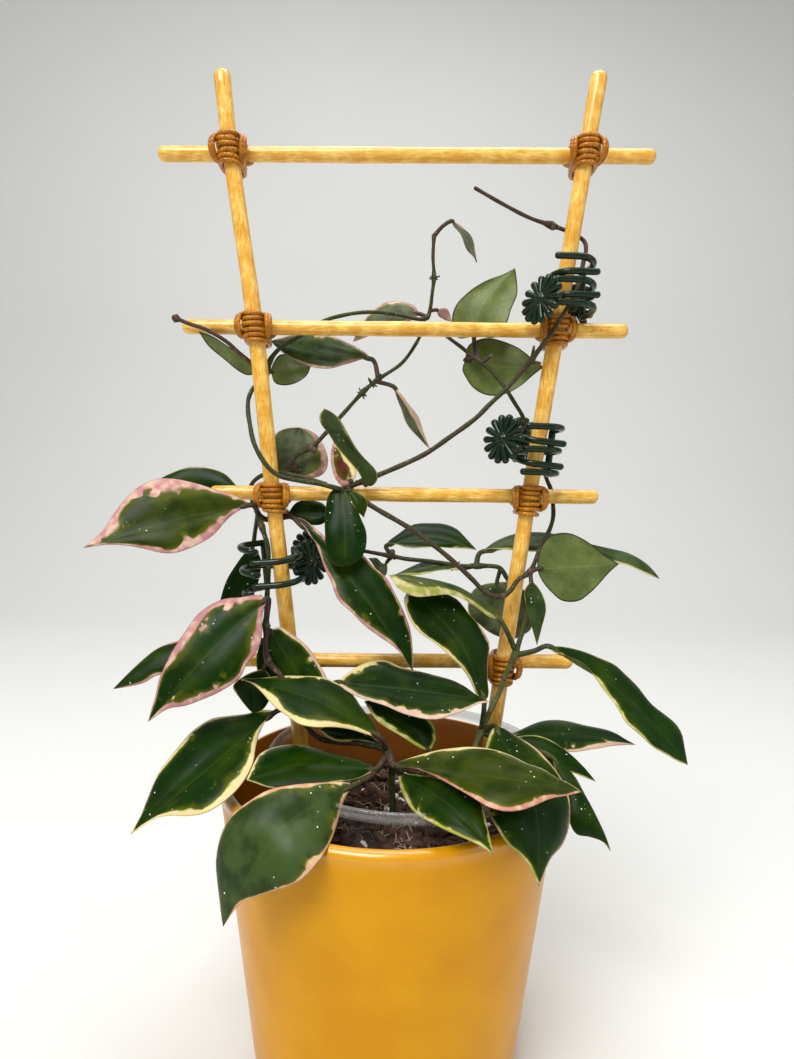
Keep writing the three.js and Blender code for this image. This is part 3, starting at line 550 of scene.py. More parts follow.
def potting_mix():
    body = Body()
    outline = [(0, 9.4)] + [(nursery_radius(z) - 2.2, z) for z in (9.4, 40, 80, 100, 107)]
    outline += [(r, SOIL_LEVEL) for r in [*np.linspace(SOIL_RADIUS, 1.5, 24), 0]]
    add_lathe(body, outline, 96, NURSERY["x"], NURSERY["y"])
    for point in body.points:
        if point[2] == SOIL_LEVEL:
            point[2] = soil_height(point[0], point[1])
    body.make("potting_mix_body", [soil_material()], "potting_mix")

    rng = random.Random(7)
    loose = Body()
    for _ in range(LOOSE_PIECES):
        x, y = at_radius((SOIL_RADIUS - 2.5) * math.sqrt(rng.random()), rng.uniform(0, math.tau))
        white, size = pick(rng, *SURFACE_MIX)
        points, faces = lump(rng, size, 0.8 if white else 0.42)
        loose.add(turned(points, rng) + [x, y, soil_height(x, y) + size * 0.15], faces, int(white))
    for _ in range(WALL_PIECES):
        z = rng.uniform(60, 109)
        angle = rng.uniform(0, math.tau)
        white, size = pick(rng, *WALL_MIX)
        x, y = at_radius(nursery_radius(z) - NURSERY_WALL - 0.75 * size - 0.6, angle)
        points, faces = lump(rng, size, 0.5)
        loose.add(turned(points, rng) * 0.75 + [x, y, z], faces, int(white))
    bark = mottled_material("bark", *BARK, Roughness=0.8)
    perlite = mottled_material("perlite", *PERLITE, Roughness=0.85)
    loose.make("bark_and_perlite", [bark, perlite], "potting_mix")

    roots = Body()
    for _ in range(FINE_ROOTS):
        x, y = at_radius((SOIL_RADIUS - 6) * math.sqrt(rng.random()), rng.uniform(0, math.tau))
        heading, length = rng.uniform(0, math.tau), rng.uniform(4, 11)
        path = []
        for k in range(5):
            px, py = x + math.cos(heading) * length * k / 4, y + math.sin(heading) * length * k / 4
            inside = math.hypot(px - NURSERY["x"], py - NURSERY["y"]) < SOIL_RADIUS - 2
            px, py = (px, py) if inside else (x, y)
            heading += rng.uniform(-0.5, 0.5)
            lift = rng.uniform(0.6, 3.2) if 0 < k < 4 else -0.5
            path.append((px, py + 0.01 * k, soil_height(px, py) + lift + 0.01 * k))
        add_tube(roots, smooth(path, 9), rng.uniform(0.12, 0.3), 5)
    pale = mottled_material("roots", *PALE_ROOT, Roughness=0.7)
    roots.make("fine_roots", [pale], "potting_mix")


# ---- trellis ----

TRELLIS_Y = 10.0
UPRIGHT_RADIUS = 3.5
UPRIGHT_FOOT = 62.0
RUNG_RADIUS = 3.25
RUNG_Y = TRELLIS_Y + UPRIGHT_RADIUS + RUNG_RADIUS + 0.4
STICK_DOME = 0.8  # the height of a stick's rounded tip, as a share of its radius
RUNGS = [  # left x and z, right x and z
    (-105.6, 393.6, 109.8, 396.6),
    (-95.4, 320.4, 101.1, 322.2),
    (-83.5, 247.6, 91.0, 249.0),
    (-77.0, 171.4, 82.4, 173.7),
]
UPRIGHTS = {  # x at the foot, x at each rung from the top one down, x and z at the top
    "left": (-31.6, (-72.9, -62.0, -53.8, -44.8), (-76.5, 425.2)),
    "right": (36.2, (78.0, 68.2, 58.6, 49.5), (82.3, 427.4)),
}


def rung_height(rung, x):
    left_x, left_z, right_x, right_z = rung
    return left_z + (right_z - left_z) * (x - left_x) / (right_x - left_x)


def upright_path(side):
    foot, at_rungs, top = UPRIGHTS[side]
    path = [(foot, TRELLIS_Y, UPRIGHT_FOOT)]
    path += [(x, TRELLIS_Y, rung_height(rung, x)) for rung, x in reversed(list(zip(RUNGS, at_rungs)))]
    return path + [(top[0], TRELLIS_Y, top[1])]


def stick(name, path, radius, material, seed):
    """A hand-made stick: slightly uneven, its tips rounded inside the path's ends."""
    rng = random.Random(seed)
    path = np.array(path, float)
    for end, next_one in ((0, 1), (-1, -2)):
        inward = path[next_one] - path[end]
        path[end] += inward / norm(inward) * radius * STICK_DOME
    points = smooth(path, 70)
    s = np.linspace(0, 1, len(points))
    phases = [rng.uniform(0, 6) for _ in range(2)]
    uneven = 1 + 0.02 * np.sin(17 * s + phases[0]) + 0.012 * np.sin(41 * s + phases[1]) - 0.01
    body = Body()
    add_tube(body, points, radius * uneven, 28, dome=STICK_DOME)
    body.make(f"{name}_stick", [material], name)


def trellis():
    standing = cane_material("cane_upright", (1, 1, 0.16))
    lying = cane_material("cane_rung", (0.16, 1, 1))
    for k, side in enumerate(UPRIGHTS):
        stick(f"upright_{side}", upright_path(side), UPRIGHT_RADIUS, standing, 11 + k)
    for i, (left_x, left_z, right_x, right_z) in enumerate(RUNGS):
        path = [(left_x, RUNG_Y, left_z), (0, RUNG_Y, (left_z + right_z) / 2), (right_x, RUNG_Y, right_z)]
        stick(f"rung_{i + 1}", path, RUNG_RADIUS, lying, 21 + i)


CORD_RADIUS = 0.95
LASHING_DROP = 1.7  # the knot sits a little below its rung
STACK = 6  # turns round the upright
STACK_PITCH = 2.1
SLIT = 0.35  # half of the gap where the stack's two halves part
FLANK_TURNS = (  # turns round the rung, on each side: nearest to the upright, bowed out, tall, deep
    (4.6, 2.6, 5.6, 7.8),
    (3.9, 2.2, 5.9, 8.4),
    (4.9, 1.6, 4.4, 7.0),
)
TURN_STEPS = 40


def add_turn(body, points):
    """One closed turn of cord, its ends joined inside the knot."""
    reach = np.concatenate([[0], np.cumsum(norm(np.diff(points, axis=0), axis=1))])
    add_tube(body, points, CORD_RADIUS, 10, dome=0.3, along=reach, around=None)


def lashing(side, index, material):
    """Square lashing: turns round the upright in front, and bowed turns round the rung beside it."""
    x = UPRIGHTS[side][1][index]
    z = rung_height(RUNGS[index], x) - LASHING_DROP
    path = upright_path(side)
    lean = (path[-1][0] - path[1][0]) / (path[-1][2] - path[1][2])
    middle_y = (TRELLIS_Y + RUNG_Y) / 2
    front = middle_y - (TRELLIS_Y - UPRIGHT_RADIUS - CORD_RADIUS)
    rng = random.Random(31 * index + len(side))
    angles = np.linspace(-math.pi / 2, 1.5 * math.pi, TURN_STEPS)
    c, s = np.cos(angles), np.sin(angles)
    boxed = np.sign(c) * np.abs(c) ** 0.75
    body = Body()
    for k in range(STACK):
        up = (k - (STACK - 1) / 2) * STACK_PITCH - 0.1
        up += math.copysign(SLIT, up)
        swell = math.cos(up / 7.0)
        wide = UPRIGHT_RADIUS + 0.4 + 1.1 * swell
        tilt = rng.uniform(-0.5, 0.5)
        add_turn(body, np.column_stack([
            x + lean * up + wide * boxed + rng.uniform(-0.3, 0.3),
            middle_y + (front + 0.7 * swell + rng.uniform(-0.2, 0.2)) * np.sign(s) * np.abs(s) ** 0.8,
            z + up + tilt * c,
        ]))
    tuck = 1.08 - 0.3 * (1 + s)  # the turns lie closer to the rung behind
    for outward in (-1, 1):
        for nearest, bowed, tall, deep in FLANK_TURNS:
            add_turn(body, np.column_stack([
                x + outward * (nearest + bowed * np.abs(s)) + 0.4 * rng.uniform(-1, 1) * c,
                middle_y - 0.2 + deep * s,
                z + 0.9 + tall * c * tuck,
            ]))
    name = f"lashing_{side}_{index + 1}"
    body.make(f"{name}_cord", [material], name)


# ---- vine clips ----

CLIP_WIRE = 1.42
CLIP_SPINE = CLIP_WIRE * 1.1
CLIP_FINGERS = 5
CLIPS = {  # a jaw: its side, its fingers' free ends and roots in plan, their rise, its grip and facing
    "vine_clip_1": {
        "centre": (72.8, 8.5, 337.9), "half": (8.9, 11.0), "lean": -0.04, "pitch": 4.65, "spring": 3.0,
        "jaws": [
            (1, (-7.6, -10.6), (7.1, 7.3), (1.2, -1.2), (572, 306, 27), (0.1, 0.9, 0.3)),
            (-1, (8.8, -10.4), (-7.1, 7.3), (-0.4, -1.2), (541, 299, -4), (-0.8, -0.58, 0.2)),
        ],
    },
    "vine_clip_2": {
        "centre": (61.1, 10.6, 268.8), "half": (9.2, 11.3), "lean": 0.088, "pitch": 4.8, "spring": 0.0,
        "jaws": [
            (1, (-6.6, -11.3), (7.6, 7.4), (0.4, -0.4), (520, 440, 26), (-0.5, 0.85, 0.1)),
            (-1, (9.0, -10.9), (-7.6, 7.4), (-2.1, 3.6), (503, 439, -2), (-0.72, -0.68, 0.1)),
        ],
    },
    "vine_clip_3": {
        "centre": (-53.2, 8.0, 213.0), "half": (12.6, 10.4), "lean": -0.1, "pitch": 5.0, "spring": 2.0,
        "jaws": [
            (-1, (-5.6, -5.0), (-5.0, 9.8), (-0.4, 2.4), (312, 552, 24), (0.4, 0.8, 0.2)),
            (1, (-6.2, -10.2), (8.5, 8.0), (0.4, 5.2), (311, 562, 13.5), (0.75, -0.65, 0.1)),
        ],
    },
}
PETALS = 14
PETAL_REACH = 10.6


def grip(body, middle, facing):
    """A daisy of rounded petals round a small dome."""
    facing = np.array(facing) / norm(facing)
    a = np.cross(facing, [0, 0, 1.0])
    a /= norm(a)
    b = np.cross(facing, a)
    for k in range(PETALS):
        angle = 2 * math.pi * k / PETALS
        out = math.cos(angle) * a + math.sin(angle) * b
        shares = np.linspace(0.26, 0.86, 7)
        points = [middle + out * PETAL_REACH * s + facing * (0.6 - 1.4 * s**2) for s in shares]
        add_tube(body, points, 0.7 + 1.15 * shares**1.3, 8, dome=0.9)
    for size, lift in ((3.2, 0.4), (1.9, 1.5)):
        points = [middle + facing * (lift + size * h) for h in (-0.9, -0.3, 0.1)]
        add_tube(body, points, [size * 0.8, size, size * 0.85], 16, dome=0.45)


def finger_path(clip, jaw, level):
    """The middle line of a finger, from its free end in front round one side to its root behind."""
    (half_x, half_y), (side, free, root, (start, end), *_) = clip["half"], jaw
    plan = [
        free,
        (0.45 * side * half_x, -half_y),
        (0.9 * side * half_x, -0.62 * half_y),
        (side * half_x, 0.05 * half_y),
        root,
    ]
    x, y, z = clip["centre"]
    return np.array([
        (x + clip["lean"] * level + a, y + b, z + level + start + (end - start) * i / (len(plan) - 1))
        for i, (a, b) in enumerate(plan)
    ])


def vine_clip(name, clip, material):
    """Two jaws of fingers that reach round from both sides, a spring behind, a grip on each jaw."""
    body = Body()
    roots = ([], [])
    for k in range(CLIP_FINGERS):
        level = ((CLIP_FINGERS - 1) / 2 - k) * clip["pitch"]
        path = finger_path(clip, clip["jaws"][k % 2], level)
        roots[k % 2].append(path[-1])
        add_tube(body, smooth(path, 30), CLIP_WIRE, 14, dome=0.9)
    middles = []
    for tips in roots:
        high, low = tips[0], tips[-1]
        share = (clip["centre"][2] + clip["spring"] - low[2]) / (high[2] - low[2])
        middles.append(low + (high - low) * share)
        add_tube(body, np.linspace(low, high, 10), CLIP_SPINE, 12)
    behind = (middles[0] + middles[1]) / 2
    behind[1] = clip["centre"][1] + 1.12 * clip["half"][1]
    add_tube(body, smooth([middles[0], behind, middles[1]], 16), CLIP_SPINE, 12)
    for (*_, spot, facing), root in zip(clip["jaws"], middles):
        middle = seen_at(*spot)
        grip(body, middle, facing)
        add_tube(body, np.linspace(root, middle, 8), CLIP_SPINE, 12)
    body.make(f"{name}_wire", [material], name)


# ---- leaves and stems ----

PINK = colour(178, 122, 124)
SHELL = colour(204, 172, 150)
# a darker, greyer pink: the pink margin with painted shade, for leaves that sit at the back of the plant
SHADED_PINK = colour(150, 110, 108)
ROSE = colour(190, 128, 108)
CREAM = colour(214, 198, 130)
LIME = colour(156, 162, 66)
STRAW = colour(140, 144, 62)
PEACH = colour(194, 144, 106)
DARK = colour(17, 45, 1)
OLIVE = colour(48, 58, 8)
# a grey-green that paints the leaves' waxy sheen, their reflection of the bright surroundings, into their
# colour
PAINTED_SHEEN_GREEN = colour(62, 78, 42)
SAGE = colour(96, 104, 74)
REDDISH = colour(120, 52, 52)
LEAF_ROWS = 34
LEAF_COLUMNS = 14
LEAF_THICKNESS = 1.1
LEAF_ARCH = 0.09  # how far each half is crowned, as a share of its width
LEAF_WAVE = 0.5  # how far the margin waves up and down
WAVES = 11  # in radians from the base to the tip
WAVE_WIDTH = 6  # a half narrower than this waves less
THICK_WIDTH = 8  # a half narrower than this is thinner
RIM_BLEND = 4  # how quickly one rim's values give way to the other's across the midrib
MARGIN_ROWS = 9  # steps of a margin that is known only at its widest point
RIB_STEPS = 60


def spots(text):
    """Points from an outline's text, each x,y or x,y,depth, with a size where a fourth stands."""
    return [tuple(float(number) for number in spot.split(",")) for spot in text.split()]


def both(*rim):
    """The same rim on both margins."""
    return rim, rim


def side_curve(rib, outline, tilt):
    """A margin from the leaf's base to its tip through pixels, at depths that follow its tilt."""
    gaps, depths = [], []
    for pixel in outline:
        away = norm(rib[:, :2] - pixel, axis=1)
        nearest = int(away.argmin())
        gaps.append(away[nearest])
        depths.append(rib[nearest, 2])
    widest = max(gaps)
    margin = [
        seen_at(px, py, depth + tilt * gap / widest)
        for (px, py), gap, depth in zip(outline, gaps, depths)
    ]
    return smooth([seen_at(*rib[0]), *margin, seen_at(*rib[-1])], LEAF_ROWS)


def whole_outline(rib, outline):
    """A margin's outline, made up from the midrib where only its widest point is given."""
    if len(outline) > 1:
        return outline
    pixels = rib[:, :2]
    middle = int(norm(pixels - outline[0], axis=1).argmin())
    reach = min(max(middle / (len(rib) - 1), 0.25), 0.7)
    out = np.array(outline[0]) - pixels[middle]
    made = []
    for s in np.linspace(0, 1, MARGIN_ROWS)[1:-1]:
        if s < reach:
            wide = math.sin(math.pi / 2 * s / reach) ** 0.75
        else:
            wide = math.cos(math.pi / 2 * (s - reach) / (1 - reach)) ** 1.15
        made.append(tuple(pixels[int(s * (len(rib) - 1))] + out * wide))
    return made


def add_leaf(body, rib, left, right, tilt, rims, green=DARK):
    """A closed leaf blade: midrib, both margins, upper side in material 0, underside in 1."""
    rib = smooth(spots(rib), RIB_STEPS)
    margins = [side_curve(rib, whole_outline(rib, spots(given)), lean)
               for given, lean in zip((left, right), tilt)]
    centre = smooth([seen_at(*point) for point in [*rib[::6], rib[-1]]], LEAF_ROWS)
    shares = np.linspace(0, 1, LEAF_ROWS)
    normals = np.cross(margins[1] - margins[0], np.gradient(centre, axis=0))
    normals /= np.maximum(norm(normals, axis=1, keepdims=True), 1e-9)
    for _ in range(3):
        normals[1:-1] = (normals[:-2] + normals[1:-1] * 2 + normals[2:]) / 4
    normals[0], normals[-1] = normals[1], normals[-2]
    normals /= norm(normals, axis=1, keepdims=True)
    steps = np.sin(np.linspace(-1, 1, LEAF_COLUMNS + 1) * math.pi / 2)
    ring = [(t, 1) for t in steps] + [(t, -1) for t in steps[-2:0:-1]]
    points = []
    values = {"edge": [], "rim": [], "tint": [], "across": []}

    def note(t, width, s):
        """The values that the materials read, at a share t across and s along."""
        left_rim, right_rim = (
            np.array([*tint, np.interp(s, np.linspace(0, 1, len(widths)), widths)])
            for tint, *widths in rims
        )
        mixed = 0.5 + 0.5 * max(-1.0, min(1.0, t * RIM_BLEND))
        *tint, rim = left_rim * (1 - mixed) + right_rim * mixed
        for key, value in zip(values, ((1 - abs(t)) * width, rim, tint, t)):
            values[key].append(value)

    for i in range(1, LEAF_ROWS - 1):
        for t, face in ring:
            margin = margins[0][i] if t < 0 else margins[1][i]
            out = abs(t)
            width = norm(margin - centre[i])
            rise = LEAF_ARCH * width * 4 * out * (1 - out)
            wave = math.sin(WAVES * shares[i] + 2 * t) * out * out
            rise += LEAF_WAVE * wave * min(1.0, width / WAVE_WIDTH)
            thick = LEAF_THICKNESS * (1 - out**4) * 0.5 * min(1.0, 0.35 + width / THICK_WIDTH)
            points.append(centre[i] + (margin - centre[i]) * out + normals[i] * (rise + face * thick))
            note(t, width, shares[i])
    points += [centre[0], centre[-1]]
    note(0.0, 0.0, 0.0)
    note(0.0, 0.0, 1.0)
    sides = len(ring)
    around = [k % sides for k in range((LEAF_ROWS - 3) * sides)] + [k // 2 for k in range(2 * sides)]
    kinds = [0 if k < LEAF_COLUMNS else 1 for k in around]
    body.add(points, ring_faces(LEAF_ROWS - 2, sides), kinds, green=green, **values)
    return centre


def nearest_on(path, point):
    return path[int(norm(path - point, axis=1).argmin())]


# Points are pixels of the photograph, as in an SVG outline, with a depth y in millimetres third.
# A stem's tones are those of stem_material, at even steps along it. Its stalks start at a tone too.
# A leaf is its stalk, its midrib, its left and right margins, as seen when one looks at its upper
# side with the tip ahead, the margins' tilt in depth, their rims and its green, which on some leaves
# is a grey-green of painted sheen. A rim is a colour and its widths in millimetres at even steps
# from the base to the tip.

STEMS = {"left_vine": {
    "radius": 1.5, "tone": (0.1, 0.3, 0.6, 0.7, 0.1, 0.2, 0.5),
    "path": "392,872,-19 392,785,-19 387,752,-19 363,744,-15 322,739,-9 309,729,-7 295,702,-8 281,676,-8 "
            "268,660,-6 266,626,-3 267,600,2.4 268,549,5 262,527,6 257,510,14 251,497,23 251,486,23.2 "
            "259,477,20 272,473,18 287,474,14 306,478,11 326,484,10",
    "nodes": "387,752,-19 268,660,-6 266,626,-3 262,527,6",
    "beads": "268,626,-4.2,1.1 269,660,-7.2,1.1 261,527,4.8,0.9",
}, "low_shoot": {
    "radius": 1.2, "tone": (0.1, 0.3),
    "path": "439,872,-18 437,785,-18 431,755,-16",
    "nodes": "434,768,-17",
}, "left_loop": {
    "radius": 1.2, "tone": (0.2, 0.1, 0.1, 0.2, 0.5),
    "path": "340,489,6 320,484,5 280,476,2.8 269,468,2.5 259,454,3 253,440,5 250,425,8 248,411,11 "
            "249,397,15.5 255,386,17.5 266,378,18 270,361,18 278,350,20 289,342,22.5 298,337,23.5 "
            "312,328,23.8 326,320,23 342,315.5,22.5 361,312.5,22.5 381,312.4,23 402,315.5,23.5 "
            "417,319,24 427,318,24 430,310,24 432,295,23 434,277,23 433,257,23 434,236,23",
    "nodes": "270,361,18 427,318,24 434,236,23 434,277,23",
    "twig": "266,378,18 249,361,15.5 238,352,13.5 227,342,11.5 205,329,9.5 190,324,9.5 180,320,9.5",
    "bristles": "434,277,23",
}, "back_stem": {
    "radius": 1.2, "tone": (0.5, 0.3, 0.3),
    "path": "286,469,21.5 297,455,22 312,447,22 325,434,22 343,414,22 364,391,22 377,380,22 402,363,23 "
            "417,342,24.5 420,336,24.8",
    "nodes": "312,447,22 364,391,22 377,380,22",
    "bristles": "312,448,22 363,392,22 372,383,22 377,379,22",
    "beads": "311,448,21,1.5 314,450,21,1.3 309,445,21.5,1.1",
}, "diagonal_up": {
    "radius": 1.3, "tone": (0.5, 0.5, 0.4, 0.5, 1.0, 1.0),
    "path": "346,488,13 361,482,12 376,476,11 393,469,10 425,454,9 450,437,8 476,418,8 489,405,8.5 "
            "506,389,9 519,375,8.5 531,361,6 538,351,3 545,342,0.8 552,332,0 560,319,0 568,307,0.8 "
            "575,294,4 580,280,7 583,264,9 586,250,12 584,241,16 576,235,18 567,231,18.4 552,225.5,18 "
            "530,218,17 501,203,16 475,188,14",
    "nodes": "531,361,6 552,225.5,18 550,225,18 364,481,12",
    "bristles": "354,486,13",
    "beads": "553,226.5,17.6,1.5",
    "spurs": ("532,360,6 534,346,4", "531,362,6 541,363,4",),
}, "diagonal_down": {
    "radius": 1.3, "tone": (0.55, 0.5, 0.4, 0.3, 0.5),
    "path": "359,498,9.5 375,508,8 414,531,6 447,556,4 472,579,2 485,592,0.6 498,597,0 504,596,0.4 "
            "511,590,1.2 518,580,3 530,572,5 536,559,8 542,544,12 549,531,16 553,518,20 553,504,23.6 "
            "551,490,24 547,480,22 542,465,19 536,448,18 528,431,17 522,415,16 514,402,15.5 506,389,15.5 "
            "499,380,17 490,370,18 481,362,19 472,356,21 461,347,23.2 449,338,24.4 441,331,25",
    "nodes": "530,572,5 481,362,19",
    "beads": "503,596,-0.6,1.1 520,578,2.6,0.9 530,571,4,1.2 536,559,7,0.9",
    "spurs": ("482,363,18.5 492,355,17",),
}, "right_vine": {
    "radius": 1.5, "tone": (-0.6, -0.6, -0.2, 0.2, 0.6), "stalks": 0.1,
    "path": "469,868,-14 470,780,-14 476,745,-10 481,733,-8 485,722,-7 491,709,-6 499,693,-4 505,676,-3 "
            "515,655,-1 520,639,1 525,620,6 526,600,13 520,589,17.8 509,581,18.8 500,568,19 490,566,19.5 "
            "477,566,20 461,566,20 427,561,20 407,559,21 391,556,22 364,551,23",
    "nodes": "481,733,-8 515,655,-1 477,566,20 391,556,22",
    "bristles": "477,566,20 391,556,22 455,566,20",
    "beads": "483,700,-6.4,0.9 490,712,-7.6,0.8 505,679,-4.6,0.8 471,760,-12.4,0.9 392,552.5,21.8,1.5",
}}
